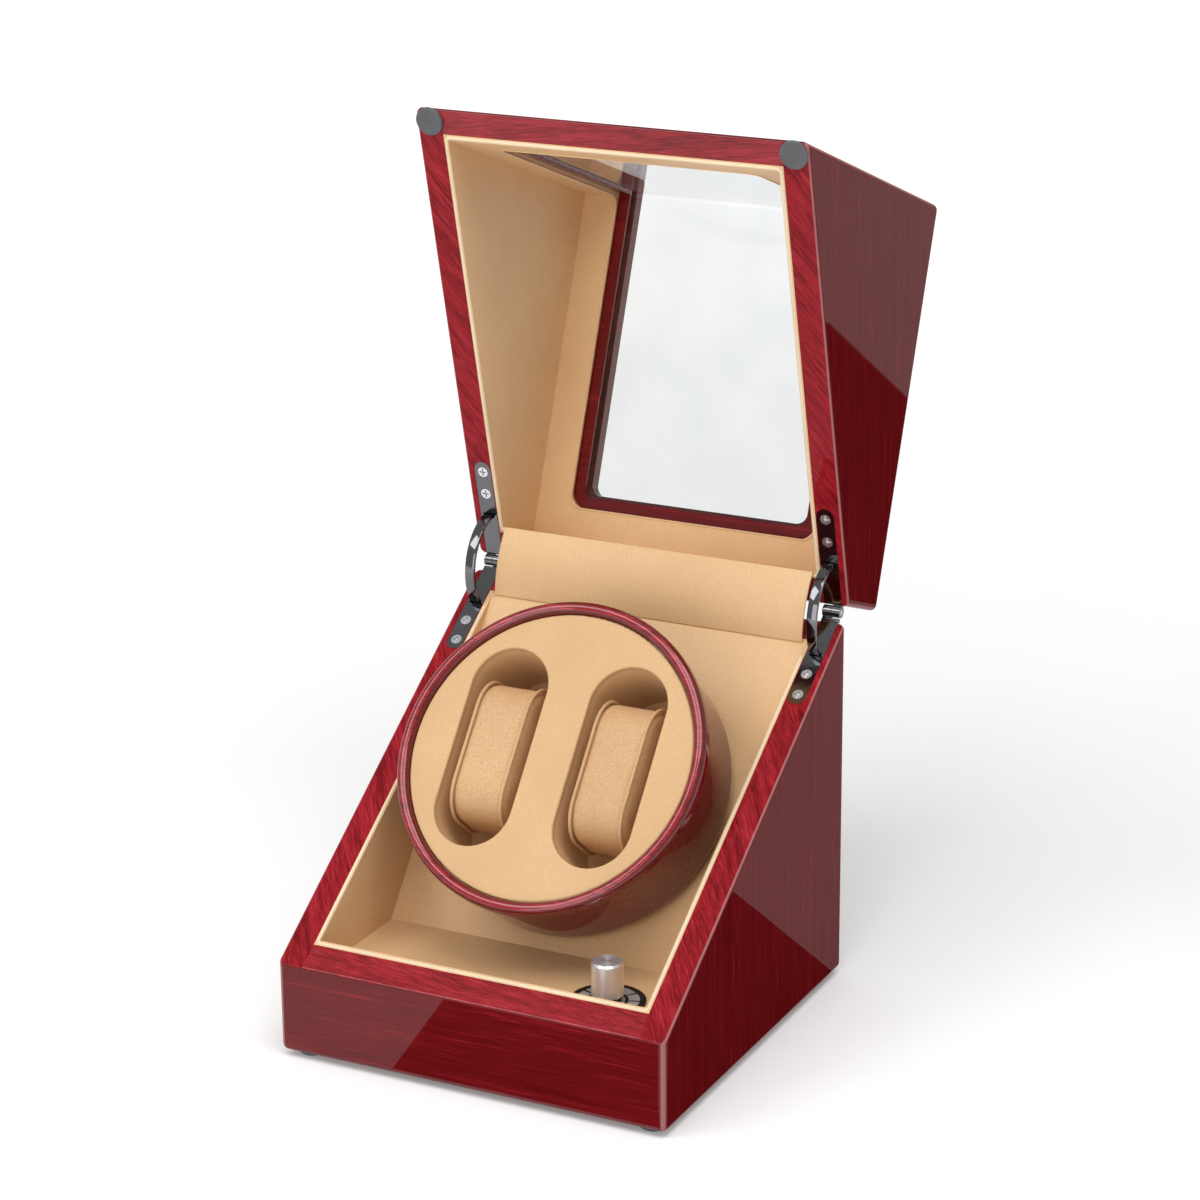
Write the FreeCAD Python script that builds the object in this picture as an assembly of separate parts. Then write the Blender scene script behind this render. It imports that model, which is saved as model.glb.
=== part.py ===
import FreeCAD, Part
import math
import os

# Twin winder box: a lacquered case with a slanted hinged lid and a slowly turning drum with two pillows.
# Working frame: X to the right, Y to the back from the front face, Z up from the underside of the wood.
# All sizes are in millimetres and degrees. The lid is modelled shut and then swung open.

# Case
case_width = 180.0
case_depth = 180.0
case_height = 197.5
front_height = 40.0
back_height = 161.4
rim_gap = 1.5
side_wall = 12.0
front_wall = 10.0
back_wall = 10.0
top_wall = 10.0
corner_round = 3.0
rim_round = 1.2
lining = 2.0
fit = 0.1

# Feet, bottom cover and its corner blocks
foot_height = 2.5
foot_radius = 6.0
foot_inset = 10.0
foot_bevel = 0.6
cover_thickness = 6.0
cover_gap = 0.3
block_side = 14.0
block_height = 16.0

# Floor, deck and drum position
floor_top = 34.5
floor_thickness = 3.0
drum_tilt = 51.0
drum_setback = 105.6
drum_drop = 38.8
deck_gap = 3.0
deck_thickness = 4.0
deck_hole_gap = 1.0

# Lid window and pane
window_side_margin = 16.0
window_front_margin = 14.6
window_rear_margin = 14.1
window_corner = 8.0
wood_margin = 5.5
wood_corner = 5.0
stop_lip = 1.5
pane_thickness = 3.0
pane_sink = 1.0
pane_bend = 2.0

# Hinges
open_angle = 110.8
hinge_setback = 4.0
leaf_inset = 7.5
leaf_width = 8.0
leaf_thickness = 1.6
leaf_reach = 50.0
leaf_tail = 3.0
barrel_radius = 2.6
knuckle_gap = 0.1
pin_radius = 1.2
running_gap = 0.05
leaf_screw_near = 34.0
leaf_screw_far = 45.0
stay_radius = 23.0
stay_thickness = 1.6
stay_width = 4.6
stay_overlap = 8.0
stay_share = 0.27
stay_room = 0.4
stay_end_room = 3.0
bumper_side_inset = 6.6
bumper_inset = 7.3
bumper_radius = 6.2
bumper_thickness = 1.4
bumper_bevel = 0.4
flap_radius = 18.0
flap_thickness = 1.0
flap_side_gap = 1.5
flap_clear = 0.3
flap_bulge = 2.5

# Drum shell, face and wells
lip_band = 5.5
lip_length = 6.0
neck_step = 1.7
neck_depth = 8.0
back_step = 3.5
back_round = 6.0
drum_depth = 50.0
shell_back = 4.0
face_recess = 2.5
face_thickness = 3.0
face_gap = 0.2
ledge = 3.0
slot_offset = 28.0
slot_width = 35.5
slot_length = 89.0
slot_edge = 0.8
well_wall = 1.2
well_floor = 1.5
well_clearance = 3.33

# Pillows
pillow_side_gap = 4.25
pillow_end_gap = 11.5
pillow_proud = 1.5
pillow_clear = 0.3
pillow_side_pull = 4.0
pillow_shoulder = 3.0
pillow_round = 15.0
pillow_side_round = 10.0

# Drum bearing and drive
hub_radius = 16.0
hub_thickness = 2.2
hub_boss_radius = 6.5
hub_play = 0.2
hub_screw_count = 3
shaft_radius = 4.0
shaft_tail = 1.8
shaft_seat = 0.02
bush_radius = 6.0
bush_flange_radius = 8.0
bush_flange = 1.5
bush_length = 7.0
block_flange_radius = 20.0
block_flange = 4.0
block_boss_radius = 10.0
bearing_length = 18.0
block_screw_count = 4
gear_module = 1.0
gear_teeth = 60
pinion_teeth = 20
gear_play = 0.5
gear_width = 6.0
pinion_overhang = 0.5
tooth_addendum = 0.85
tooth_dedendum = 1.15
tooth_backlash = 0.2
pressure_angle = 20.0
flank_steps = 3
gear_window_radius = 7.0
gear_window_circle = 18.0
gear_window_count = 5
clip_thickness = 1.0
clip_radius = 7.0
clip_groove = 0.5
clip_play = 0.2
clip_mouth = 5.0
bracket_gap = 0.9
bracket_thickness = 2.0
bracket_edge = 7.0
bracket_rise = 14.0
bracket_round = 4.0
bracket_hole = 6.0
post_x = 24.0
post_radius = 3.5
post_spigot_radius = 2.0
post_spigot = 2.5
output_radius = 2.0
output_depth = 1.5
gearbox_radius = 13.5
gearbox_length = 10.0
motor_radius = 12.0
motor_length = 18.0
motor_round = 2.0
motor_tail_radius = 5.0
motor_tail = 2.0
terminal_length = 4.0
terminal_half = 3.0

# Control: knob, dial, selector switch and control board
knob_side_inset = 31.8
knob_setback = 26.6
dial_radius = 16.0
dial_thickness = 0.8
nut_wall = 1.5
nut_height = 1.7
knob_radius = 6.8
knob_height = 15.6
knob_lift = 0.3
knob_bevel = 0.8
knob_bore_depth = 9.0
spindle_radius = 3.0
switch_bush_radius = 4.5
switch_half = 11.0
switch_height = 12.0
board_thickness = 1.6
board_left = 26.2
board_right = 15.8
board_front = 13.6
board_rear = 23.4
plug_block = 7.0
plug_block_height = 6.0
motor_plug_shift = 18.2
power_plug_shift = 3.8

# Power jack and leads
jack_z = 25.0
jack_radius = 5.4
jack_flange_radius = 7.5
jack_flange = 1.5
jack_tail = 14.0
jack_socket_radius = 3.2
jack_socket_depth = 9.0
jack_pin_radius = 1.05
jack_nut_wall = 2.6
jack_nut_height = 3.0
lead_radius = 1.0
lead_dip = 18.5
lead_bow = 3.0
lead_mid_y = 112.0
lead_near_y = 84.0

# Screws: countersunk wood screws and pan head machine screws
wood_head_radius = 2.4
wood_shank_radius = 1.2
wood_length = 11.0
cover_screw_length = 14.0
hub_screw_length = 5.0
pan_head_radius = 2.3
pan_head_height = 1.6
pan_shank_radius = 1.25
pan_length = 6.0
cross_width = 0.7
cross_depth = 0.9

# Values worked out from the sizes above
Vec = FreeCAD.Vector
ORIGIN = Vec(0, 0, 0)
X_AXIS = Vec(1, 0, 0)
Y_AXIS = Vec(0, 1, 0)
Z_AXIS = Vec(0, 0, 1)
half_width = case_width / 2
inner_half = half_width - side_wall
lined_half = inner_half - lining
inner_back = case_depth - back_wall
reach = case_width + case_depth + case_height
slope = math.atan2(back_height - front_height, case_depth)
rim_slope = math.degrees(slope)
tilt = math.radians(drum_tilt)
rim_length = case_depth / math.cos(slope)
gap_rise = rim_gap / math.cos(slope)
half_gap = rim_gap / 2
pivot_y = case_depth + hinge_setback * math.cos(slope) - half_gap * math.sin(slope)
pivot_z = (front_height + case_depth * math.tan(slope)
           + hinge_setback * math.sin(slope) + half_gap * math.cos(slope))
PIVOT = Vec(0, pivot_y, pivot_z)
leaf_x = half_width - leaf_inset
bumper_x = half_width - bumper_side_inset
flap_half = lined_half - flap_side_gap
window_half = lined_half - window_side_margin
window_sill = front_height + (front_wall + lining) * math.tan(slope) + gap_rise + window_front_margin
window_rear = inner_back - lining - window_rear_margin
drum_face_y = case_depth - drum_setback
drum_face_z = back_height - drum_drop
knob_x = inner_half - knob_side_inset
knob_y = front_wall + knob_setback
motor_plug_x = knob_x - motor_plug_shift
power_plug_x = knob_x + power_plug_shift
board_x0 = knob_x - board_left
board_x1 = knob_x + board_right
board_y0 = knob_y - board_front
board_y1 = knob_y + board_rear
floor_bottom = floor_top - floor_thickness
deck_front = drum_depth + deck_gap
deck_back = deck_front + deck_thickness
deck_hole_radius = bush_flange_radius + deck_hole_gap
face_back = face_recess + face_thickness
well_reach = math.hypot(slot_offset, (slot_length - slot_width) / 2) + slot_width / 2 + well_wall
shell_inner = well_reach + well_clearance
lip_radius = shell_inner + ledge + lip_band
neck_radius = lip_radius - neck_step
back_radius = lip_radius - back_step
pillow_width = slot_width - 2 * pillow_side_gap
pillow_height = slot_length - 2 * pillow_end_gap
shell_floor = drum_depth - shell_back
face_radius = lip_radius - lip_band - face_gap
gear_radius = gear_module * gear_teeth / 2
pinion_radius = gear_module * pinion_teeth / 2
pinion_v = -(gear_radius + pinion_radius)
bearing_end = deck_back + bearing_length
gear_start = bearing_end + bush_flange + gear_play
gear_end = gear_start + gear_width
shaft_end = gear_end + clip_play + clip_thickness + shaft_tail
hub_boss_end = deck_back - bush_flange - hub_play
hub_screw_circle = (hub_boss_radius + hub_radius) / 2
block_screw_circle = (block_boss_radius + block_flange_radius) / 2
bracket_start = gear_end + pinion_overhang + pan_head_height + bracket_gap
bracket_half = post_x + bracket_edge
gearbox_screw_x = (bracket_hole + gearbox_radius) / 2
nut_radius = switch_bush_radius + nut_wall
jack_nut_radius = jack_radius + jack_nut_wall
bracket_back = bracket_start + bracket_thickness
gearbox_back = bracket_back + gearbox_length
motor_back = gearbox_back + motor_length
stay_swing = stay_share * open_angle
dial_top = floor_top + dial_thickness
nut_top = dial_top + nut_height
knob_bottom = nut_top + knob_lift
switch_bottom = floor_bottom - switch_height


def base_rim(y):
    """Height of the lower case's rim at depth y."""
    return front_height + y * math.tan(slope)


def lid_rim(y):
    """Height of the shut lid's rim at depth y."""
    return base_rim(y) + gap_rise


def swing(y, z, angle):
    """A point of the YZ plane turned about the hinge pivot."""
    turn = math.radians(angle)
    dy = y - pivot_y
    dz = z - pivot_z
    return (pivot_y + dy * math.cos(turn) - dz * math.sin(turn),
            pivot_z + dy * math.sin(turn) + dz * math.cos(turn))


# The open lid reaches furthest back at its rounded front top edge; the origin lies midway to it.
lid_edge_y, lid_edge_z = swing(corner_round, case_height - corner_round, -open_angle)
origin_y = (lid_edge_y + corner_round) / 2


# Small helpers

def box(x0, x1, y0, y1, z0, z1):
    return Part.makeBox(x1 - x0, y1 - y0, z1 - z0, Vec(x0, y0, z0))


def rod(radius, start, end, x=0.0, y=0.0):
    """A round bar along Z between two heights."""
    low = min(start, end)
    return Part.makeCylinder(radius, abs(end - start), Vec(x, y, low))


def face_of(points):
    return Part.Face(Part.makePolygon([*points, points[0]]))


def prism_yz(points, x0, x1):
    """A YZ outline pushed along X."""
    return face_of([Vec(x0, y, z) for y, z in points]).extrude(Vec(x1 - x0, 0, 0))


def polar(radius, angle, x):
    turn = math.radians(angle)
    return Vec(x, radius * math.cos(turn), radius * math.sin(turn))


def arc_band(r_in, r_out, a0, a1, x0, x1):
    """A curved strip about the X axis from angle a0 to a1."""
    mid = (a0 + a1) / 2
    outer = Part.Arc(polar(r_out, a0, x0), polar(r_out, mid, x0), polar(r_out, a1, x0)).toShape()
    inner = Part.Arc(polar(r_in, a1, x0), polar(r_in, mid, x0), polar(r_in, a0, x0)).toShape()
    end = Part.makeLine(polar(r_out, a1, x0), polar(r_in, a1, x0))
    start = Part.makeLine(polar(r_in, a0, x0), polar(r_out, a0, x0))
    return Part.Face(Part.Wire([outer, end, inner, start])).extrude(Vec(x1 - x0, 0, 0))


def stadium(width, length, start, end):
    """An upright slot shape between two heights, long side along Y."""
    radius = width / 2
    run = length / 2 - radius
    body = box(-radius, radius, -run, run, min(start, end), max(start, end))
    ends = [rod(radius, start, end, 0, -run), rod(radius, start, end, 0, run)]
    return body.multiFuse(ends).removeSplitter()


def turned(points):
    """A solid of revolution about Z from (radius, height) corners."""
    return face_of([Vec(r, 0, z) for r, z in points]).revolve(ORIGIN, Z_AXIS, 360)


def edges_where(shape, test):
    return [edge for edge in shape.Edges if test(edge)]


def moved(shape, x=0.0, y=0.0, z=0.0):
    copy = shape.copy()
    copy.translate(Vec(x, y, z))
    return copy


def turned_copy(shape, axis, angle, centre=ORIGIN):
    copy = shape.copy()
    copy.rotate(centre, axis, angle)
    return copy


def mirrored(shape):
    return shape.mirror(ORIGIN, X_AXIS)


def at_rim(shape):
    """From hinge coordinates (Y back along the rim, Z off the rim) to the case."""
    return moved(turned_copy(shape, X_AXIS, rim_slope), 0, pivot_y, pivot_z)


def at_drum(shape):
    """From drum coordinates (Y up the face, Z out of the face) to the case."""
    return moved(turned_copy(shape, X_AXIS, drum_tilt), 0, drum_face_y, drum_face_z)


def drum_point(x, v, depth):
    """Case coordinates of a point given on the drum's own axes, depth behind the face."""
    return Vec(x,
               drum_face_y + v * math.cos(tilt) + depth * math.sin(tilt),
               drum_face_z + v * math.sin(tilt) - depth * math.cos(tilt))


def opened(shape):
    """Swing a piece of the shut lid to its open rest."""
    return turned_copy(shape, X_AXIS, -open_angle, PIVOT)


def around(count, circle, start=0.0):
    """Points spaced evenly on a circle."""
    step = 360 / count
    return [(circle * math.cos(math.radians(start + i * step)),
             circle * math.sin(math.radians(start + i * step))) for i in range(count)]


# Fasteners, made along Z with the head on top at height 0

def cross_recess(head_radius):
    half = cross_width / 2
    bar = head_radius - cross_width
    across = box(-bar, bar, -half, half, -cross_depth, cross_depth)
    along = box(-half, half, -bar, bar, -cross_depth, cross_depth)
    return across.fuse(along)


def wood_screw(length):
    sink = wood_head_radius - wood_shank_radius
    body = turned([(0, 0), (wood_head_radius, 0), (wood_shank_radius, -sink),
                   (wood_shank_radius, wood_shank_radius - length), (0, -length)])
    return body.cut(cross_recess(wood_head_radius))


def wood_screw_hole(length):
    sink = wood_head_radius - wood_shank_radius
    wide = wood_head_radius + fit
    narrow = wood_shank_radius + running_gap
    return turned([(0, fit), (wide, fit), (wide, 0), (narrow, -sink), (narrow, -length - fit),
                   (0, -length - fit)])


def pan_screw():
    """A pan head screw whose head stands on height 0."""
    crown = pan_head_height - pan_shank_radius / 2
    body = turned([(0, pan_head_height), (pan_shank_radius, pan_head_height), (pan_head_radius, crown),
                   (pan_head_radius, 0), (pan_shank_radius, 0), (pan_shank_radius, -pan_length),
                   (0, -pan_length)])
    return body.cut(moved(cross_recess(pan_head_radius), 0, 0, pan_head_height))


def pan_hole(length):
    return rod(pan_shank_radius + running_gap, fit, -length - fit)


# The two halves of the wooden case

def case_block():
    block = box(-half_width, half_width, 0, case_depth, 0, case_height)
    return block.makeFillet(corner_round, block.Edges)


def rim_rounded(shape, rim):
    """Ease the outer edge of a half along its sloping rim."""
    def on_rim(edge):
        return all(abs(v.Point.z - rim(v.Point.y)) < fit / 2 for v in edge.Vertexes)
    return shape.makeFillet(rim_round, edges_where(shape, on_rim))


def below_rim():
    return prism_yz([(-reach, base_rim(-reach)), (-reach, -reach), (reach, -reach), (reach, base_rim(reach))],
                    -reach, reach)


def above_rim():
    return prism_yz([(-reach, lid_rim(-reach)), (reach, lid_rim(reach)), (reach, reach + lid_rim(reach)),
                     (-reach, reach + lid_rim(reach))], -reach, reach)


def side_room(sign):
    """The slice of the case that one side board fills."""
    x0, x1 = (inner_half, half_width) if sign > 0 else (-half_width, -inner_half)
    return box(x0, x1, -reach, reach, -reach, reach)


def front_room():
    return box(-inner_half, inner_half, -reach, front_wall, -reach, reach)


def back_room():
    return box(-inner_half, inner_half, inner_back, reach, -reach, reach)


def top_room():
    return box(-inner_half, inner_half, front_wall, inner_back, case_height - top_wall, reach)


# Hinges, in hinge coordinates on the right hand side

def leaf_outline(grow, tail, bottom, top):
    """A strip with a rounded front end."""
    half = leaf_width / 2 + grow
    nose = leaf_reach - leaf_width / 2
    strip = box(leaf_x - half, leaf_x + half, -nose, -tail, bottom, top)
    return strip.fuse(rod(half, bottom, top, leaf_x, -nose))


def stay_slot():
    half = stay_width / 2 + stay_room
    r_in = stay_radius - stay_thickness / 2 - stay_room
    r_out = stay_radius + stay_thickness / 2 + stay_room
    return box(leaf_x - half, leaf_x + half, -r_out, -r_in, -leaf_reach, leaf_reach)


def knuckle(x0, x1, bottom, top):
    """The barrel of one leaf with the tab that joins it to the leaf."""
    barrel = turned_copy(rod(barrel_radius, 0, x1 - x0), Y_AXIS, 90)
    tab = box(x0, x1, -leaf_tail - barrel_radius, 0, bottom, top)
    return moved(barrel, x0).fuse(tab)


def pin_hole():
    hole = turned_copy(rod(pin_radius + running_gap, 0, leaf_width + 2 * fit), Y_AXIS, 90)
    return moved(hole, leaf_x - leaf_width / 2 - fit)


def leaf(bottom, top, x0, x1, screw_up):
    strip = leaf_outline(0, leaf_tail, bottom, top).fuse(knuckle(x0, x1, bottom, top)).removeSplitter()
    holes = [leaf_screw_place(wood_screw_hole(wood_length), y, screw_up)
             for y in (leaf_screw_near, leaf_screw_far)]
    return strip.cut(stay_slot()).cut(pin_hole()).cut(Part.makeCompound(holes))


def leaf_screw_place(shape, distance, screw_up):
    """Put a screw into a leaf: the lower leaf's screws point down, the lid's point up."""
    if screw_up:
        shape = turned_copy(shape, X_AXIS, 180)
    return moved(shape, leaf_x, -distance, half_gap if screw_up else -half_gap)


def base_leaf():
    return leaf(-half_gap - leaf_thickness, -half_gap,
                leaf_x - leaf_width / 2, leaf_x - knuckle_gap, False)


def lid_leaf():
    return leaf(half_gap, half_gap + leaf_thickness,
                leaf_x + knuckle_gap, leaf_x + leaf_width / 2, True)


def leaf_screws(screw_up):
    right = [leaf_screw_place(wood_screw(wood_length), y, screw_up) for y in (leaf_screw_near, leaf_screw_far)]
    return Part.makeCompound(right + [mirrored(s) for s in right])


def stay():
    half = stay_width / 2
    return arc_band(stay_radius - stay_thickness / 2, stay_radius + stay_thickness / 2,
                    180 - open_angle - stay_overlap, 180 + stay_overlap, leaf_x - half, leaf_x + half)


def stay_pocket(a0, a1):
    half = stay_width / 2 + stay_room
    room = stay_thickness / 2 + stay_room
    return arc_band(stay_radius - room, stay_radius + room, a0, a1, leaf_x - half, leaf_x + half)


def hinge_cuts(bottom, top, a0, a1, screw_up):
    """What a side board loses to the leaf, its screws and the stay."""
    mortise = leaf_outline(fit, -leaf_reach, bottom, top)
    holes = [leaf_screw_place(wood_screw_hole(wood_length), y, screw_up)
             for y in (leaf_screw_near, leaf_screw_far)]
    return at_rim(Part.makeCompound([mortise, stay_pocket(a0, a1), *holes]))


def cut_each(shape, compound):
    for tool in compound.Solids:
        shape = shape.cut(tool)
    return shape


def base_boards(base):
    end = 180 + stay_overlap + stay_swing + stay_end_room
    cuts = hinge_cuts(-half_gap - leaf_thickness, half_gap, 180 - stay_overlap, end, False)
    right = cut_each(base.common(side_room(1)), cuts)
    jack = moved(turned_copy(rod(jack_radius + fit, -back_wall - fit, fit), X_AXIS, -90),
                 power_plug_x, case_depth, jack_z)
    return {"base_right_board": right, "base_left_board": mirrored(right),
            "base_front_board": base.common(front_room()),
            "base_back_board": base.common(back_room()).cut(jack)}


# The lid's window

def front_opening(half, sill, corner, y0, y1, z1):
    hole = box(-half, half, y0, y1, sill, z1)
    low = edges_where(hole, lambda e: all(abs(v.Point.z - sill) < fit for v in e.Vertexes)
                      and abs(e.Vertexes[0].Point.y - e.Vertexes[1].Point.y) > fit)
    return hole.makeFillet(corner, low)


def top_opening(half, rear, corner, y0, z0, z1):
    hole = box(-half, half, y0, rear, z0, z1)
    back = edges_where(hole, lambda e: all(abs(v.Point.y - rear) < fit for v in e.Vertexes)
                       and abs(e.Vertexes[0].Point.z - e.Vertexes[1].Point.z) > fit)
    return hole.makeFillet(corner, back)


wood_half = window_half - wood_margin
wood_sill = window_sill + wood_margin
wood_rear = window_rear - wood_margin
pane_out = front_wall - pane_sink - pane_thickness
top_out = case_height - top_wall + pane_sink + pane_thickness


def window_cuts():
    """The wood's opening: a seat for the pane from inside and a narrower lip outside."""
    lip_half = wood_half - stop_lip
    return [front_opening(wood_half, wood_sill, wood_corner, pane_out, front_wall + fit, top_out),
            front_opening(lip_half, wood_sill + stop_lip, wood_corner, -fit, front_wall + fit,
                          case_height + fit),
            top_opening(wood_half, wood_rear, wood_corner, pane_out, case_height - top_wall - fit, top_out),
            top_opening(lip_half, wood_rear - stop_lip, wood_corner, front_wall - fit,
                        case_height - top_wall - fit, case_height + fit)]


def window_pane():
    """A clear sheet bent over the lid's front top edge."""
    half = wood_half - fit
    y_in = pane_out + pane_thickness
    z_in = top_out - pane_thickness
    sheet = prism_yz([(pane_out, wood_sill + fit), (y_in, wood_sill + fit), (y_in, z_in),
                      (wood_rear - fit, z_in), (wood_rear - fit, top_out), (pane_out, top_out)], -half, half)

    def bend(y, z):
        return lambda e: all(abs(v.Point.y - y) < fit / 2 and abs(v.Point.z - z) < fit / 2 for v in e.Vertexes)
    sheet = sheet.makeFillet(pane_bend, edges_where(sheet, bend(y_in, z_in)))
    sheet = sheet.makeFillet(pane_bend + pane_thickness, edges_where(sheet, bend(pane_out, top_out)))
    room = front_opening(half, wood_sill + fit, wood_corner, pane_out - fit, case_depth, case_height)
    rear = top_opening(half, wood_rear - fit, wood_corner, pane_out - fit, 0, case_height)
    return sheet.common(room).common(rear)


def lid_boards(lid):
    cuts = hinge_cuts(-half_gap, half_gap + leaf_thickness,
                      180 - open_angle - stay_overlap + stay_swing - stay_end_room, 180 + stay_overlap, True)
    right = cut_each(lid.common(side_room(1)), cuts)
    front = lid.common(front_room())
    top = lid.common(top_room())
    for cut in window_cuts():
        front = front.cut(cut)
        top = top.cut(cut)
    return {"lid_right_board": right, "lid_left_board": mirrored(right), "lid_front_frame": front,
            "lid_top_frame": top, "lid_back_board": lid.common(back_room())}


def lid_liners():
    top_in = case_height - top_wall
    side = prism_yz([(front_wall, lid_rim(front_wall)), (inner_back, lid_rim(inner_back)),
                     (inner_back, top_in), (front_wall, top_in)], lined_half, inner_half)
    band = prism_yz([(front_wall, lid_rim(front_wall)), (front_wall + lining, lid_rim(front_wall + lining)),
                     (front_wall + lining, top_in - lining), (inner_back - lining, top_in - lining),
                     (inner_back - lining, lid_rim(inner_back - lining)), (inner_back, lid_rim(inner_back)),
                     (inner_back, top_in), (front_wall, top_in)], -lined_half, lined_half)
    front_hole = front_opening(window_half, window_sill, window_corner, 0, front_wall + lining + fit, top_in)
    top_hole = top_opening(window_half, window_rear, window_corner, 0, top_in - lining - fit, case_height)
    corner = box(-window_half, window_half, front_wall - fit, front_wall + lining + fit,
                 top_in - lining - fit, case_height)
    return {"lid_side_liners": Part.makeCompound([side, mirrored(side)]),
            "lid_window_liner": band.cut(front_hole).cut(top_hole).cut(corner)}


def lid_bumpers():
    along = -(rim_length + hinge_setback - bumper_inset)
    disc = rod(bumper_radius, half_gap - bumper_thickness, half_gap, bumper_x, along)
    low = edges_where(disc, lambda e: len(e.Vertexes) == 1
                      and abs(e.Vertexes[0].Point.z - (half_gap - bumper_thickness)) < fit)
    disc = disc.makeFillet(bumper_bevel, low)
    return at_rim(Part.makeCompound([disc, mirrored(disc)]))


# Lower lining, floor, deck and flap

def deck_line(depth, z):
    """Depth into the case of the drum's cross plane at a height."""
    return drum_face_y + (depth + (z - drum_face_z) * math.cos(tilt)) / math.sin(tilt)


def deck_meets_rim(depth):
    """Where a plane parallel to the drum's face cuts the lower rim."""
    start = deck_line(depth, base_rim(0))
    rise = math.tan(slope) * math.cos(tilt) / math.sin(tilt)
    return start / (1 - rise)


def lower_room(x0, x1):
    """The lined space of the lower case in front of the deck."""
    top_y = deck_meets_rim(deck_front)
    return prism_yz([(front_wall, floor_top), (deck_line(deck_front, floor_top), floor_top),
                     (top_y, base_rim(top_y)), (front_wall, base_rim(front_wall))], x0, x1)


def lower_panels():
    inner = prism_yz([(front_wall, floor_bottom), (inner_back, floor_bottom),
                      (inner_back, base_rim(inner_back)), (front_wall, base_rim(front_wall))],
                     -inner_half, inner_half)
    slab = at_drum(box(-reach, reach, -reach, reach, -deck_back, -deck_front))
    holes = [rod(deck_hole_radius, -deck_front + fit, -deck_back - fit)]
    for x, y in around(block_screw_count, block_screw_circle, 45):
        holes.append(moved(pan_hole(pan_length), x, y, -deck_back - block_flange).rotate(
            Vec(x, y, -deck_back - block_flange), X_AXIS, 180))
    for x in (-post_x, post_x):
        holes.append(rod(post_spigot_radius + shaft_seat, -deck_back, post_spigot - deck_back, x, pinion_v))
    deck = cut_each(inner.common(slab), at_drum(Part.makeCompound(holes)))
    foot_y = deck_line(deck_front, floor_top)
    low_y = deck_line(deck_front, floor_bottom)
    floor = prism_yz([(front_wall, floor_bottom), (low_y, floor_bottom), (foot_y, floor_top),
                      (front_wall, floor_top)], -inner_half, inner_half)
    floor = floor.cut(rod(switch_bush_radius + fit, floor_bottom - fit, floor_top + fit, knob_x, knob_y))
    side = lower_room(lined_half, inner_half)
    strip = lower_room(-lined_half, lined_half).common(
        box(-reach, reach, front_wall, front_wall + lining, -reach, reach))
    return {"deck_panel": deck, "floor_panel": floor, "base_front_liner": strip,
            "base_side_liners": Part.makeCompound([side, mirrored(side)])}


def hinge_flap():
    """A leather strip that bridges the lower case and the open lid in front of the pivot."""
    ease = math.degrees((half_gap + flap_clear - rim_gap) / flap_radius)
    low = 180 - ease
    high = 180 - open_angle + ease
    middle = (low + high) / 2
    bow = flap_radius * math.cos(math.radians((low - high) / 2)) + flap_bulge
    half = flap_thickness / 2

    def line(shift):
        return [polar(flap_radius + shift, low, -flap_half), polar(bow + shift, middle, -flap_half),
                polar(flap_radius + shift, high, -flap_half)]
    outer = line(half)
    inner = line(-half)
    wire = Part.Wire([Part.Arc(*outer).toShape(), Part.makeLine(outer[-1], inner[-1]),
                      Part.Arc(*reversed(inner)).toShape(), Part.makeLine(inner[0], outer[0])])
    return at_rim(Part.Face(wire).extrude(Vec(2 * flap_half, 0, 0)))


# Underside

def foot_spots():
    x = half_width - foot_inset
    return [(sx * x, y) for sx in (-1, 1) for y in (foot_inset, case_depth - foot_inset)]


def feet():
    pads = []
    for x, y in foot_spots():
        pad = turned([(0, 0), (foot_radius, 0), (foot_radius, foot_bevel - foot_height),
                      (foot_radius - foot_bevel, -foot_height), (0, -foot_height)])
        pads.append(moved(pad, x, y))
    return Part.makeCompound(pads)


def block_spots():
    x = inner_half - block_side / 2
    return [(sx * x, y) for sx in (-1, 1)
            for y in (front_wall + block_side / 2, inner_back - block_side / 2)]


def underside():
    cover = box(cover_gap - inner_half, inner_half - cover_gap, front_wall + cover_gap,
                inner_back - cover_gap, 0, cover_thickness)
    blocks = []
    screws = []
    for x, y in block_spots():
        half = block_side / 2
        hole = moved(turned_copy(wood_screw_hole(cover_screw_length), X_AXIS, 180), x, y)
        block = box(x - half, x + half, y - half, y + half, cover_thickness, cover_thickness + block_height)
        cover = cover.cut(hole)
        blocks.append(block.cut(hole))
        screws.append(moved(turned_copy(wood_screw(cover_screw_length), X_AXIS, 180), x, y))
    return {"bottom_cover": cover, "corner_blocks": Part.makeCompound(blocks),
            "bottom_screws": Part.makeCompound(screws), "feet": feet()}


# Drum, in drum coordinates

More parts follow.
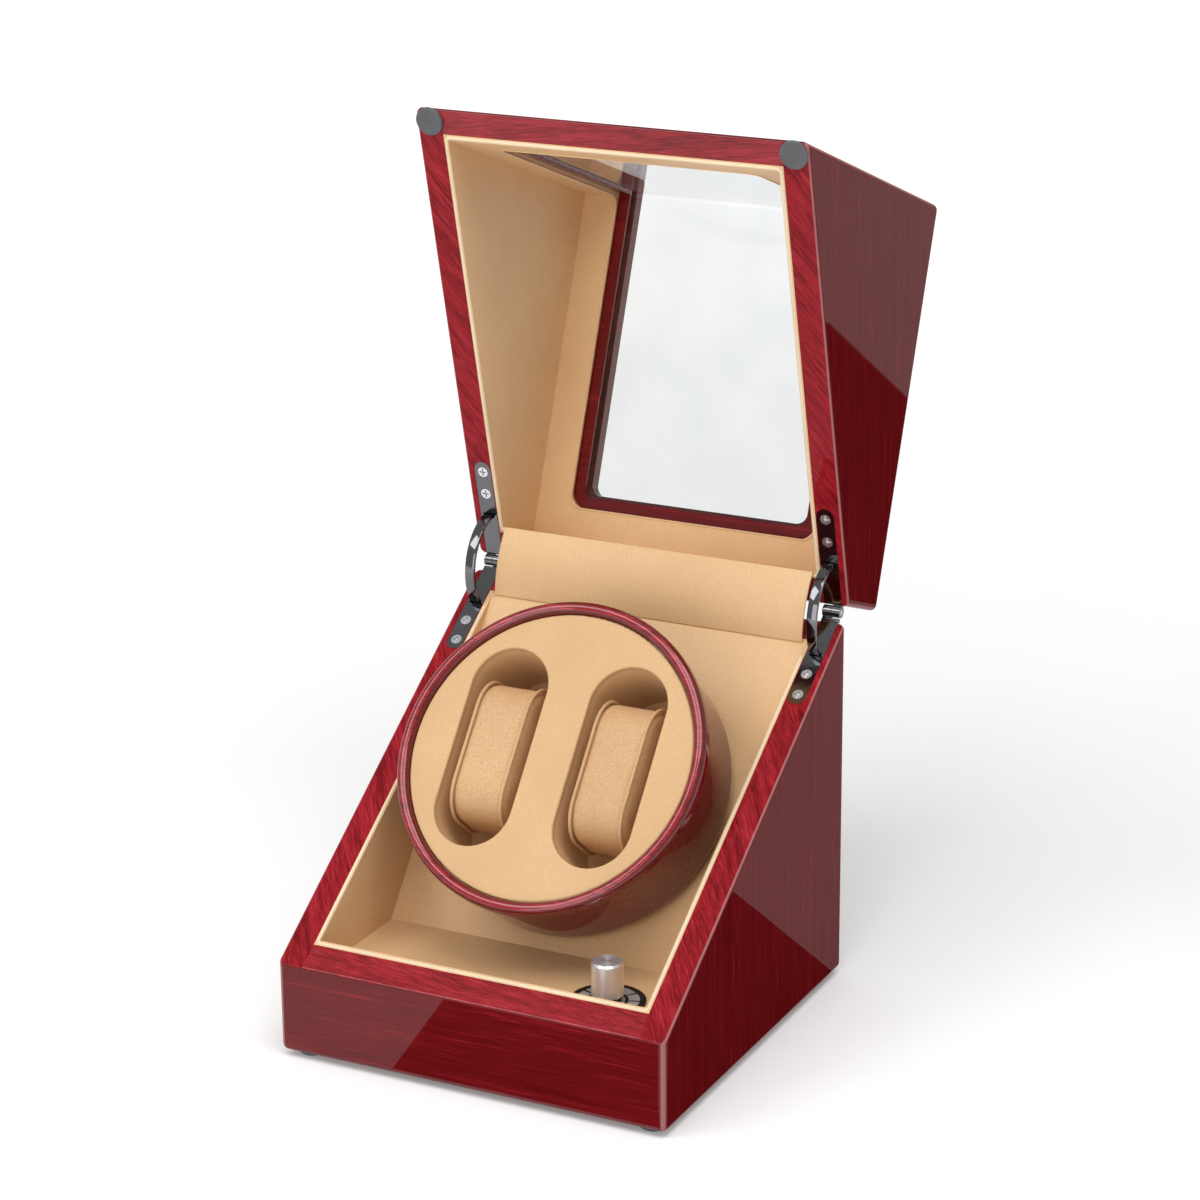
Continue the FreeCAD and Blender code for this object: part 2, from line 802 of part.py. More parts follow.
def drum_shell():
    nose = lip_band / 2
    front = lip_radius - lip_band
    lip = Part.Arc(Vec(front, 0, -nose), Vec(front + nose, 0, 0), Vec(lip_radius, 0, -nose)).toShape()
    low_z = back_round - drum_depth
    mid = back_round * (1 - math.sqrt(0.5))
    heel = Part.Arc(Vec(back_radius, 0, low_z), Vec(back_radius - mid, 0, mid - drum_depth),
                    Vec(back_radius - back_round, 0, -drum_depth)).toShape()
    outside = Part.makePolygon([Vec(lip_radius, 0, -nose), Vec(lip_radius, 0, -lip_length),
                                Vec(neck_radius, 0, -neck_depth), Vec(back_radius, 0, low_z)])
    inside = Part.makePolygon([Vec(back_radius - back_round, 0, -drum_depth), Vec(0, 0, -drum_depth),
                               Vec(0, 0, -shell_floor), Vec(shell_inner, 0, -shell_floor),
                               Vec(shell_inner, 0, -face_back), Vec(front, 0, -face_back),
                               Vec(front, 0, -nose)])
    wire = Part.Wire([lip, *outside.Edges, heel, *inside.Edges])
    shell = Part.Face(wire).revolve(ORIGIN, Z_AXIS, 360)
    return cut_each(shell, Part.makeCompound(hub_screw_set(wood_screw_hole(hub_screw_length))))


def drum_face():
    plate = rod(face_radius, -face_back, -face_recess)
    for sign in (-1, 1):
        slot = stadium(slot_width, slot_length, -face_back - fit, fit - face_recess)
        plate = plate.cut(moved(slot, sign * slot_offset))
    front = edges_where(plate, lambda e: abs(e.BoundBox.ZMin + face_recess) < fit / 2
                        and abs(e.BoundBox.ZMax + face_recess) < fit / 2)
    return plate.makeFillet(slot_edge, front)


def slot_wells():
    outer = stadium(slot_width + 2 * well_wall, slot_length + 2 * well_wall, -face_back, -shell_floor)
    inner = stadium(slot_width, slot_length, fit - face_back, well_floor - shell_floor)
    tub = outer.cut(inner)
    return Part.makeCompound([moved(tub, sign * slot_offset) for sign in (-1, 1)])


def rounded_outline(x, half_height, front, back, radius):
    """A rounded rectangle in the plane at x, as lines and quarter arcs."""
    corners = [(half_height, front), (half_height, back), (-half_height, back), (-half_height, front)]
    middle = (front + back) / 2
    edges = []
    ends = []
    diagonal = radius * (1 - math.sqrt(0.5))
    for index, (v, z) in enumerate(corners):
        dv = -math.copysign(radius, v)
        dz = -math.copysign(radius, z - middle)
        first = Vec(x, v + dv, z)
        last = Vec(x, v, z + dz)
        if index % 2:
            first, last = last, first
        turn = Vec(x, v + math.copysign(diagonal, dv), z + math.copysign(diagonal, dz))
        ends.append((first, turn, last))
    for index, (first, turn, last) in enumerate(ends):
        edges.append(Part.Arc(first, turn, last).toShape())
        edges.append(Part.makeLine(last, ends[(index + 1) % len(ends)][0]))
    return Part.Wire(edges)


def pillow():
    """A stuffed cuff: full in the middle, drawn in towards both sides."""
    front = pillow_proud - face_recess
    back = pillow_clear + well_floor - shell_floor
    half = pillow_width / 2
    inner = half - pillow_shoulder
    pull = pillow_side_pull
    sections = []
    for x, take, radius in ((-half, pull, pillow_side_round), (-inner, pull / 4, pillow_round),
                            (0.0, 0.0, pillow_round), (inner, pull / 4, pillow_round),
                            (half, pull, pillow_side_round)):
        sections.append(rounded_outline(x, pillow_height / 2 - take, front - take, back + take, radius))
    return Part.makeLoft(sections, True, False)


def hub_screw_set(shape):
    """Copies of a screw in the hub flange, heads to the back."""
    flat = turned_copy(shape, X_AXIS, 180)
    return [moved(flat, x, y, -drum_depth - hub_thickness)
            for x, y in around(hub_screw_count, hub_screw_circle, 90)]


def drum_hub():
    flange = rod(hub_radius, -drum_depth, -drum_depth - hub_thickness)
    boss = rod(hub_boss_radius, -drum_depth, -hub_boss_end)
    bore = rod(shaft_radius + shaft_seat, fit - drum_depth, -hub_boss_end - fit)
    hub = flange.fuse(boss).removeSplitter().cut(bore)
    return cut_each(hub, Part.makeCompound(hub_screw_set(wood_screw_hole(hub_screw_length))))


def drum_shaft():
    groove_start = gear_end + clip_play
    groove_end = groove_start + clip_thickness
    slim = shaft_radius - clip_groove
    return turned([(0, -drum_depth), (shaft_radius, -drum_depth), (shaft_radius, -groove_start),
                   (slim, -groove_start), (slim, -groove_end), (shaft_radius, -groove_end),
                   (shaft_radius, -shaft_end), (0, -shaft_end)])


def shaft_clip():
    start = gear_end + clip_play + running_gap
    end = gear_end + clip_play + clip_thickness - running_gap
    ring = rod(clip_radius, -start, -end).cut(rod(shaft_radius - clip_groove + running_gap, 0, -shaft_end))
    return ring.cut(box(-clip_mouth / 2, clip_mouth / 2, 0, clip_radius + fit, -shaft_end, 0))


def involute(angle):
    return math.tan(angle) - angle


def gear_profile(teeth, phase):
    """A spur gear's outline with involute flanks, backlash taken off each flank."""
    pitch = gear_module * teeth / 2
    base = pitch * math.cos(math.radians(pressure_angle))
    root = pitch - tooth_dedendum * gear_module
    tip = pitch + tooth_addendum * gear_module
    half = math.pi / (2 * teeth) - tooth_backlash / (2 * pitch)
    start = max(base, root)
    flank = []
    for i in range(flank_steps + 1):
        radius = start + (tip - start) * i / flank_steps
        spread = half + involute(math.radians(pressure_angle)) - involute(math.acos(min(1.0, base / radius)))
        flank.append((radius, spread))
    if root < base:
        flank.insert(0, (root, flank[0][1]))
    points = []
    for tooth in range(teeth):
        centre = math.radians(phase) + tooth * 2 * math.pi / teeth
        side = [(r, centre - s) for r, s in flank] + [(r, centre + s) for r, s in reversed(flank)]
        points += [Vec(r * math.cos(a), r * math.sin(a), 0) for r, a in side]
    return face_of(points)


def drum_gear():
    blank = gear_profile(gear_teeth, 90 + 180 / gear_teeth).extrude(Vec(0, 0, gear_width))
    holes = [rod(shaft_radius + shaft_seat, -fit, gear_width + fit)]
    for x, y in around(gear_window_count, gear_window_circle, 90):
        holes.append(rod(gear_window_radius, -fit, gear_width + fit, x, y))
    return moved(cut_each(blank, Part.makeCompound(holes)), 0, 0, -gear_end)


def motor_pinion():
    length = gear_width + 2 * pinion_overhang
    blank = gear_profile(pinion_teeth, 90).extrude(Vec(0, 0, length))
    bore = rod(output_radius + shaft_seat, -fit, length + fit)
    return moved(blank.cut(bore), 0, pinion_v, -gear_end - pinion_overhang)


def drum_pieces():
    cushion = pillow()
    return {"drum_shell": drum_shell(), "drum_face": drum_face(), "slot_wells": slot_wells(),
            "drum_hub": drum_hub(), "drum_shaft": drum_shaft(), "shaft_clip": shaft_clip(),
            "drum_gear": drum_gear(),
            "hub_screws": Part.makeCompound(hub_screw_set(wood_screw(hub_screw_length))),
            "left_pillow": moved(cushion, -slot_offset), "right_pillow": moved(cushion, slot_offset)}


# Bearing, motor and bracket behind the deck, in drum coordinates

def bearing_block():
    flange = rod(block_flange_radius, -deck_back, -deck_back - block_flange)
    boss = rod(block_boss_radius, -deck_back, -bearing_end)
    bore = rod(bush_radius + shaft_seat, fit - deck_back, -bearing_end - fit)
    body = flange.fuse(boss).removeSplitter().cut(bore)
    for x, y in around(block_screw_count, block_screw_circle, 45):
        body = body.cut(rod(pan_shank_radius + running_gap, fit - deck_back, -bearing_end, x, y))
    return body


def bush(seat, inward):
    """A flanged bush: its flange lies against the block at the given depth."""
    sleeve = rod(bush_radius, seat, seat + inward * bush_length)
    collar = rod(bush_flange_radius, seat, seat - inward * bush_flange)
    bore = rod(shaft_radius + running_gap, seat - reach, seat + reach)
    return sleeve.fuse(collar).removeSplitter().cut(bore)


def motor_bracket():
    plate = box(-bracket_half, bracket_half, pinion_v - bracket_rise, pinion_v + bracket_rise,
                -bracket_back, -bracket_start)
    upright = edges_where(plate, lambda e: abs(e.Vertexes[0].Point.z - e.Vertexes[1].Point.z) > fit)
    plate = plate.makeFillet(bracket_round, upright)
    holes = [rod(bracket_hole, fit - bracket_start, -bracket_back - fit, 0, pinion_v)]
    for x in (-post_x, post_x, -gearbox_screw_x, gearbox_screw_x):
        holes.append(rod(pan_shank_radius + running_gap, fit - bracket_start, -bracket_back - fit, x, pinion_v))
    return cut_each(plate, Part.makeCompound(holes))


def motor_posts():
    posts = []
    for x in (-post_x, post_x):
        post = rod(post_radius, -deck_back, -bracket_start, x, pinion_v)
        spigot = rod(post_spigot_radius, -deck_back, post_spigot - deck_back, x, pinion_v)
        hole = rod(pan_shank_radius + running_gap, -bracket_start - fit, pan_length - bracket_start, x, pinion_v)
        posts.append(post.fuse(spigot).removeSplitter().cut(hole))
    return Part.makeCompound(posts)


def gearbox():
    case = rod(gearbox_radius, -bracket_back, -gearbox_back, 0, pinion_v)
    case = case.cut(rod(output_radius + running_gap, fit - bracket_back, -bracket_back - output_depth - fit,
                        0, pinion_v))
    for x in (-gearbox_screw_x, gearbox_screw_x):
        case = case.cut(rod(pan_shank_radius + running_gap, fit - bracket_back, -bracket_start - pan_length - fit,
                            x, pinion_v))
    return case


def motor():
    can = rod(motor_radius, -gearbox_back, -motor_back, 0, pinion_v)
    rear = edges_where(can, lambda e: len(e.Vertexes) == 1 and abs(e.Vertexes[0].Point.z + motor_back) < fit)
    can = can.makeFillet(motor_round, rear)
    tail = rod(motor_tail_radius, -motor_back, -motor_back - motor_tail, 0, pinion_v)
    low = terminal_depth() + terminal_half
    terminal = box(0, motor_radius + terminal_length, pinion_v - terminal_half, pinion_v + terminal_half,
                   -low, 2 * terminal_half - low)
    return can.fuse(tail).fuse(terminal).removeSplitter()


def terminal_depth():
    """Depth behind the face where the motor's lead leaves."""
    return motor_back - motor_round - terminal_half - motor_tail


def output_shaft():
    return rod(output_radius, -gear_end + gear_width + pinion_overhang, -bracket_back - output_depth, 0, pinion_v)


def mechanism_screws():
    """The pan head screws that hold the block, the bracket and the gearbox."""
    screw = pan_screw()
    back_facing = turned_copy(screw, X_AXIS, 180)
    group = [moved(back_facing, x, y, -deck_back - block_flange)
             for x, y in around(block_screw_count, block_screw_circle, 45)]
    group += [moved(back_facing, x, pinion_v, -bracket_back) for x in (-post_x, post_x)]
    group += [moved(screw, x, pinion_v, -bracket_start) for x in (-gearbox_screw_x, gearbox_screw_x)]
    return Part.makeCompound(group)


def drive_pieces():
    return {"bearing_block": bearing_block(),
            "shaft_bushes": Part.makeCompound([bush(-deck_back, -1), bush(-bearing_end, 1)]),
            "motor_bracket": motor_bracket(), "motor_posts": motor_posts(), "gearbox": gearbox(),
            "motor": motor(), "mechanism_screws": mechanism_screws(),
            "pinion": motor_pinion(), "motor_shaft": output_shaft()}


# Knob, dial, switch, board, jack and leads, in case coordinates

def knob():
    top = knob_bottom + knob_height
    body = turned([(0, knob_bottom), (knob_radius - knob_bevel, knob_bottom),
                   (knob_radius, knob_bottom + knob_bevel), (knob_radius, top - knob_bevel),
                   (knob_radius - knob_bevel, top), (0, top)])
    bore = rod(spindle_radius + shaft_seat, knob_bottom - fit, knob_bottom + knob_bore_depth + fit)
    return moved(body.cut(bore), knob_x, knob_y)


def selector():
    body = box(-switch_half, switch_half, -switch_half, switch_half, switch_bottom, floor_bottom)
    neck = rod(switch_bush_radius, floor_bottom, nut_top)
    room = rod(spindle_radius + running_gap, switch_bottom + switch_height / 2, nut_top + fit)
    switch = body.fuse(neck).removeSplitter().cut(room)
    spindle = rod(spindle_radius, switch_bottom + switch_height / 2 + fit, knob_bottom + knob_bore_depth)
    nut = rod(nut_radius, dial_top, nut_top).cut(rod(switch_bush_radius + fit, 0, reach))
    plate = rod(dial_radius, floor_top, dial_top).cut(rod(switch_bush_radius + fit, 0, reach))
    pieces = {"selector_switch": switch, "selector_spindle": spindle, "selector_nut": nut,
              "dial_plate": plate}
    return {name: moved(shape, knob_x, knob_y) for name, shape in pieces.items()}


def control_board():
    """The board under the switch, with a plug block for each lead at its rear edge."""
    board = box(board_x0, board_x1, board_y0, board_y1, switch_bottom - board_thickness, switch_bottom)
    half = plug_block / 2
    for x in (motor_plug_x, power_plug_x):
        board = board.fuse(box(x - half, x + half, board_y1 - plug_block, board_y1,
                               switch_bottom, switch_bottom + plug_block_height))
    return board.removeSplitter()


def power_jack():
    """Made along Z with its mouth up, then laid along Y through the back board."""
    body = rod(jack_radius, -back_wall - jack_tail, 0)
    flange = rod(jack_flange_radius, 0, jack_flange)
    socket = rod(jack_socket_radius, jack_flange - jack_socket_depth, jack_flange + fit)
    pin = rod(jack_pin_radius, jack_flange - jack_socket_depth, 0)
    jack = body.fuse(flange).removeSplitter().cut(socket).fuse(pin)
    sides = [Vec(x, y, -back_wall) for x, y in around(6, jack_nut_radius)]
    nut = face_of(sides).extrude(Vec(0, 0, -jack_nut_height))
    nut = nut.cut(rod(jack_radius + running_gap, -back_wall - jack_nut_height - fit, fit - back_wall))
    pieces = {"power_jack": jack, "jack_nut": nut}
    return {name: moved(turned_copy(shape, X_AXIS, -90), power_plug_x, case_depth, jack_z)
            for name, shape in pieces.items()}


def lead(points):
    """A round lead along straight runs joined by arcs as large as the runs allow."""
    corners = [Vec(*p) for p in points]
    edges = []
    here = corners[0]
    length = 0.0
    for before, corner, after in zip(corners, corners[1:], corners[2:]):
        into = (corner - before).normalize()
        out = (after - corner).normalize()
        half_turn = into.getAngle(out) / 2
        trim = 0.45 * min((corner - before).Length, (after - corner).Length)
        radius = trim / math.tan(half_turn)
        print("lead bend radius", round(radius, 1))
        first = corner - into * trim
        last = corner + out * trim
        inward = (out - into).normalize()
        middle = corner + inward * (radius / math.cos(half_turn) - radius)
        edges += [Part.makeLine(here, first), Part.Arc(first, middle, last).toShape()]
        here = last
    edges.append(Part.makeLine(here, corners[-1]))
    path = Part.Wire(edges)
    section = Part.Wire([Part.makeCircle(lead_radius, corners[0], corners[1] - corners[0])])
    tube = path.makePipeShell([section], True, False)
    length = path.Length
    print("lead volume / (section x length)", round(tube.Volume / (math.pi * lead_radius ** 2 * length), 4))
    return tube


def leads():
    plug_z = switch_bottom + plug_block_height / 2
    start = drum_point(motor_radius + terminal_length, pinion_v, terminal_depth())
    turn_x = start.x + motor_radius
    motor_lead = lead([(start.x, start.y, start.z), (turn_x, start.y, start.z),
                       (turn_x + lead_bow, lead_mid_y, lead_dip), (motor_plug_x, lead_near_y, plug_z),
                       (motor_plug_x, board_y1, plug_z)])
    tail_y = inner_back - jack_tail
    power_lead = lead([(power_plug_x, tail_y, jack_z), (power_plug_x, tail_y - jack_tail, jack_z),
                       (power_plug_x + lead_bow, lead_mid_y, lead_dip), (power_plug_x, lead_near_y, plug_z),
                       (power_plug_x, board_y1, plug_z)])
    return {"motor_lead": motor_lead, "power_lead": power_lead}


def build():
    block = case_block()
    base = rim_rounded(block.common(below_rim()), base_rim)
    lid = rim_rounded(block.common(above_rim()), lid_rim)
    pieces = {**base_boards(base), **lower_panels(), **underside(), **selector(), **power_jack(), **leads(),
              "hinge_flap": hinge_flap(), "knob": knob(), "control_board": control_board()}
    right_leaf = base_leaf()
    pin = moved(turned_copy(rod(pin_radius, 0, leaf_width), Y_AXIS, 90), leaf_x - leaf_width / 2)
    arc = stay()
    rim_pieces = {"right_base_leaf": right_leaf, "left_base_leaf": mirrored(right_leaf),
                  "base_leaf_screws": leaf_screws(False),
                  "hinge_pins": Part.makeCompound([pin, mirrored(pin)]),
                  "hinge_stays": Part.makeCompound([arc, mirrored(arc)])}
    pieces.update({name: at_rim(shape) for name, shape in rim_pieces.items()})
    pieces.update({name: at_drum(shape) for name, shape in {**drum_pieces(), **drive_pieces()}.items()})
    top_leaf = lid_leaf()
    lid_rim_pieces = {"right_lid_leaf": top_leaf, "left_lid_leaf": mirrored(top_leaf),
                      "lid_leaf_screws": leaf_screws(True)}
    lid_pieces = {**lid_boards(lid), **lid_liners(), "window_pane": window_pane(),
                  "lid_bumpers": lid_bumpers()}
    lid_pieces.update({name: at_rim(shape) for name, shape in lid_rim_pieces.items()})
    pieces.update({name: opened(shape) for name, shape in lid_pieces.items()})
    return {name: moved(shape, 0, -origin_y, foot_height) for name, shape in pieces.items()}


os.makedirs("parts", exist_ok=True)
for node, solid in build().items():
    solid.exportStep(os.path.join("parts", node + ".step"))
    print(node, len(solid.Solids), "valid" if solid.isValid() else "INVALID", round(solid.Volume))
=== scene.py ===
import math

import bpy
from mathutils import Matrix, Vector


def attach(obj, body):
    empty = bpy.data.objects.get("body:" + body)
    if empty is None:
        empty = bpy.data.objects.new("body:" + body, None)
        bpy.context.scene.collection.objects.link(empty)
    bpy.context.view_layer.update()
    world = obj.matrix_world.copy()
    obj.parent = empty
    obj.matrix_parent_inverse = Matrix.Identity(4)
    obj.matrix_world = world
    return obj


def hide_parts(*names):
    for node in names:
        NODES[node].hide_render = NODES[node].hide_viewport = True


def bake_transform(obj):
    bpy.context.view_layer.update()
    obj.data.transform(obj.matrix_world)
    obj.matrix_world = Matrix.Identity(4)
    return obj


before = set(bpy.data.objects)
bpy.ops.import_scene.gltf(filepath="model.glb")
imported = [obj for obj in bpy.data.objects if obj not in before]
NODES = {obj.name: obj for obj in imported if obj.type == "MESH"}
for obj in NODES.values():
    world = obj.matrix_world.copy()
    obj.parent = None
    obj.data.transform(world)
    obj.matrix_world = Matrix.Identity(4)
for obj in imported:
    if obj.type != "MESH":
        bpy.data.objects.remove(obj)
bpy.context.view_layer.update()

# Sizes of the box in metres, on the case's own axes: front face at y 0, underside of the wood at z 0.
CASE_DEPTH = 0.180
FRONT_HEIGHT = 0.040
BACK_HEIGHT = 0.1614
RIM_SLOPE = math.atan2(BACK_HEIGHT - FRONT_HEIGHT, CASE_DEPTH)
RIM_GAP = 0.0015
HINGE_SETBACK = 0.004
OPEN_ANGLE = math.radians(110.8)
FOOT_HEIGHT = 0.0025
ORIGIN_Y = 0.1390251
DRUM_TILT = math.radians(51.0)
DRUM_CENTRE = (0.0, 0.0744, 0.1226)
SLOT_OFFSET = 0.028
KNOB_CENTRE = (0.0462, 0.0366)
FLAP_STANDOFF = 0.00105
STAY_MIDDLE = 0.0825
STAY_WIDTH = 0.0046
STAY_THICK = 0.0016
STAY_RADIUS = 0.0230
STAY_FROM, STAY_TO = math.radians(61.2), math.radians(188.0)

PIVOT = Vector((0.0,
                CASE_DEPTH + HINGE_SETBACK * math.cos(RIM_SLOPE) - RIM_GAP / 2 * math.sin(RIM_SLOPE),
                FRONT_HEIGHT + CASE_DEPTH * math.tan(RIM_SLOPE) + HINGE_SETBACK * math.sin(RIM_SLOPE)
                + RIM_GAP / 2 * math.cos(RIM_SLOPE)))
TO_PART = Matrix.Translation((0.0, -ORIGIN_Y, FOOT_HEIGHT))
LID_OPEN = (Matrix.Translation(PIVOT) @ Matrix.Rotation(-OPEN_ANGLE, 4, "X") @ Matrix.Translation(-PIVOT))
DRUM_PLACE = TO_PART @ Matrix.Translation(DRUM_CENTRE) @ Matrix.Rotation(DRUM_TILT, 4, "X")
RIM_PLACE = TO_PART @ Matrix.Translation(PIVOT) @ Matrix.Rotation(RIM_SLOPE, 4, "X")


def base_rim(y):
    return FRONT_HEIGHT + y * math.tan(RIM_SLOPE)


def lid_rim(y):
    return base_rim(y) + RIM_GAP / math.cos(RIM_SLOPE)


# Finishes

def new_finish(name):
    finish = bpy.data.materials.new(name)
    finish.use_nodes = True
    return finish, finish.node_tree, finish.node_tree.nodes["Principled BSDF"]


def add(tree, kind, links=None, **values):
    """A shader node with its sockets set, and links from other sockets into it."""
    node = tree.nodes.new(kind)
    for key, value in values.items():
        setattr(node, key, value)
    for socket, source in (links or {}).items():
        if isinstance(source, bpy.types.NodeSocket):
            tree.links.new(source, node.inputs[socket])
        else:
            node.inputs[socket].default_value = source
    return node


def ramp(tree, factor, stops, mode="LINEAR"):
    node = add(tree, "ShaderNodeValToRGB", {"Fac": factor})
    node.color_ramp.interpolation = mode
    marks = node.color_ramp.elements
    while len(marks) < len(stops):
        marks.new(0.5)
    for mark, (place, colour) in zip(marks, stops):
        mark.position = place
        mark.color = (*colour, 1.0)
    return node.outputs["Color"]


def grain_place(tree, stretch, turn=(0.0, 0.0, 0.0), shift=(0.0, 0.0, 0.0)):
    """Object coordinates stretched along the grain."""
    place = add(tree, "ShaderNodeTexCoord")
    turned = add(tree, "ShaderNodeMapping", {"Vector": place.outputs["Object"], "Rotation": turn,
                                             "Location": shift})
    scaled = add(tree, "ShaderNodeMapping", {"Vector": turned.outputs["Vector"], "Scale": stretch})
    return scaled.outputs["Vector"]


def noise(tree, vector, scale, detail=4.0, rough=0.55, distort=0.0):
    return add(tree, "ShaderNodeTexNoise", {"Vector": vector, "Scale": scale, "Detail": detail,
                                            "Roughness": rough, "Distortion": distort}).outputs["Fac"]


def spread(tree, factor, low, high):
    return add(tree, "ShaderNodeMapRange", {"Value": factor, "To Min": low, "To Max": high}).outputs["Result"]


def bump(tree, shader, height, strength, depth, socket="Normal"):
    node = add(tree, "ShaderNodeBump", {"Height": height, "Strength": strength, "Distance": depth})
    tree.links.new(node.outputs["Normal"], shader.inputs[socket])


# Lacquer tones run from the dark faces to the rims, which are painted lighter as if lit (painted shade and
# painted light), and a painted highlight lies on edges by how far they face sideways.
LACQUER_TONES_WITH_PAINTED_SHADE = [(0.16, (0.100, 0.0032, 0.0042)), (0.30, (0.124, 0.0048, 0.0062)),
                 (0.40, (0.158, 0.0064, 0.0090)), (0.52, (0.300, 0.0125, 0.0200)),
                 (0.68, (0.430, 0.0300, 0.0420))]
EDGE_HIGHLIGHT_BAND = [(0.22, (0, 0, 0)), (0.45, (1, 1, 1)), (0.80, (1, 1, 1)), (0.95, (0, 0, 0))]
PAINTED_EDGE_HIGHLIGHT = (0.72, 0.36, 0.36, 1.0)


def red_lacquer(name, face_grain, rim_grain, rim, coat=0.3, index=1.42, ends=0.0):
    """Fine mahogany grain under clear red lacquer; flat faces and rims have grain of their own, and flat
    faces are painted darker than rims as painted shade.
    """
    finish, tree, shader = new_finish(name)
    place = add(tree, "ShaderNodeTexCoord")
    toward = add(tree, "ShaderNodeVectorMath", {0: place.outputs["Normal"], 1: rim}, operation="DOT_PRODUCT")
    on_face = add(tree, "ShaderNodeMath", {0: toward.outputs["Value"], 1: 0.85}, operation="LESS_THAN")
    ways = [grain_place(tree, stretch, turn) for stretch, turn in (rim_grain, face_grain)]
    vector = add(tree, "ShaderNodeMix", {0: on_face.outputs["Value"], 4: ways[0], 5: ways[1]},
                 data_type="VECTOR")
    if ends:
        normal = add(tree, "ShaderNodeSeparateXYZ", {"Vector": place.outputs["Normal"]})
        sideways = add(tree, "ShaderNodeMath", {0: normal.outputs["X"]}, operation="ABSOLUTE")
        narrow = add(tree, "ShaderNodeMath", {0: sideways.outputs["Value"], 1: 0.5}, operation="LESS_THAN")
        on_end = add(tree, "ShaderNodeMath", {0: narrow.outputs["Value"], 1: on_face.outputs["Value"]},
                     operation="MULTIPLY")
        vector = add(tree, "ShaderNodeMix", {0: on_end.outputs["Value"], 4: vector.outputs[1],
                                             5: grain_place(tree, *LENGTHWISE)}, data_type="VECTOR")
        weight = spread(tree, on_end.outputs["Value"], coat, ends)
        tree.links.new(weight, shader.inputs["Coat Weight"])
    fine = noise(tree, vector.outputs[1], 60.0, 5.0, 0.62, 0.15)
    figure = noise(tree, vector.outputs[1], 13.0, 3.0, 0.5, 0.5)
    mixed = add(tree, "ShaderNodeMath", {0: fine, 1: 0.62}, operation="MULTIPLY_ADD")
    tree.links.new(spread(tree, figure, 0.0, 0.38), mixed.inputs[2])
    # Painted shade: flat faces sit 0.17 lower on the tone ramp than the rims, so they come out darker.
    painted_face_shade = add(tree, "ShaderNodeMath", {0: on_face.outputs["Value"], 1: -0.17, 2: mixed.outputs["Value"]},
                 operation="MULTIPLY_ADD")
    colour = ramp(tree, painted_face_shade.outputs["Value"], LACQUER_TONES_WITH_PAINTED_SHADE)
    # Painted highlight: edges that face partly sideways are mixed toward pale pink, standing in for light
    # caught on the rounded edge.
    if ends:
        edge_highlight_mask = ramp(tree, sideways.outputs["Value"], EDGE_HIGHLIGHT_BAND)
        edge_highlight_weight = add(tree, "ShaderNodeMath", {0: edge_highlight_mask, 1: 0.4}, operation="MULTIPLY")
        colour = add(tree, "ShaderNodeMix", {0: edge_highlight_weight.outputs["Value"], 6: colour, 7: PAINTED_EDGE_HIGHLIGHT},
                     data_type="RGBA").outputs[2]
    tree.links.new(colour, shader.inputs["Base Color"])
    wide = grain_place(tree, (1.0, 1.0, 1.0))
    tree.links.new(spread(tree, noise(tree, wide, 38.0), 0.26, 0.38), shader.inputs["Roughness"])
    shader.inputs["Specular IOR Level"].default_value = 0.0
    shader.inputs["Coat Weight"].default_value = coat
    shader.inputs["Coat Roughness"].default_value = 0.02
    shader.inputs["Coat IOR"].default_value = index
    return finish


def leather(name, light, mid, dark, pebble=1250.0, depth=0.00012, gloss=(0.36, 0.52)):
    """Fine grained leather with slow tone changes."""
    finish, tree, shader = new_finish(name)
    vector = grain_place(tree, (1.0, 1.0, 1.0))
    cells = add(tree, "ShaderNodeTexVoronoi", {"Vector": vector, "Scale": pebble}, feature="F1")
    fine = noise(tree, vector, pebble * 1.7, 3.0)
    tone = noise(tree, vector, 16.0, 5.0, 0.6)
    mixed = add(tree, "ShaderNodeMath", {0: tone, 1: fine}, operation="MULTIPLY_ADD")
    tree.links.new(spread(tree, fine, 0.0, 0.26), mixed.inputs[2])
    colour = ramp(tree, mixed.outputs["Value"], [(0.30, dark), (0.48, mid), (0.68, light)])
    tree.links.new(colour, shader.inputs["Base Color"])
    tree.links.new(spread(tree, tone, *gloss), shader.inputs["Roughness"])
    shader.inputs["Specular IOR Level"].default_value = 0.35
    shader.inputs["Sheen Weight"].default_value = 0.08
    shader.inputs["Sheen Roughness"].default_value = 0.4
    height = add(tree, "ShaderNodeMath", {0: cells.outputs["Distance"], 1: fine}, operation="ADD")
    bump(tree, shader, height.outputs["Value"], 0.32, depth)
    return finish


def bright_metal(name, tone, rough, scratch=240.0, stretch=(1.0, 1.0, 1.0), span=0.10):
    """Plated or ground metal with faint handling marks."""
    finish, tree, shader = new_finish(name)
    vector = grain_place(tree, stretch)
    marks = noise(tree, vector, scratch, 5.0, 0.65)
    haze = noise(tree, vector, 46.0, 3.0)
    colour = ramp(tree, haze, [(0.3, tuple(c * 0.84 for c in tone)), (0.7, tone)])
    tree.links.new(colour, shader.inputs["Base Color"])
    shader.inputs["Metallic"].default_value = 1.0
    tree.links.new(spread(tree, marks, rough, rough + span), shader.inputs["Roughness"])
    bump(tree, shader, marks, 0.05, 0.0002)
    return finish


def moulded(name, tone, rough, speck=900.0, depth=0.0001, contrast=0.72):
    """Moulded plastic or rubber with a fine skin."""
    finish, tree, shader = new_finish(name)
    vector = grain_place(tree, (1.0, 1.0, 1.0))
    skin = noise(tree, vector, speck, 4.0)
    cloud = noise(tree, vector, 60.0, 3.0)
    colour = ramp(tree, cloud, [(0.32, tuple(c * contrast for c in tone)), (0.66, tone)])
    tree.links.new(colour, shader.inputs["Base Color"])
    tree.links.new(spread(tree, skin, rough - 0.08, rough + 0.08), shader.inputs["Roughness"])
    shader.inputs["Specular IOR Level"].default_value = 0.4
    bump(tree, shader, skin, 0.25, depth)
    return finish


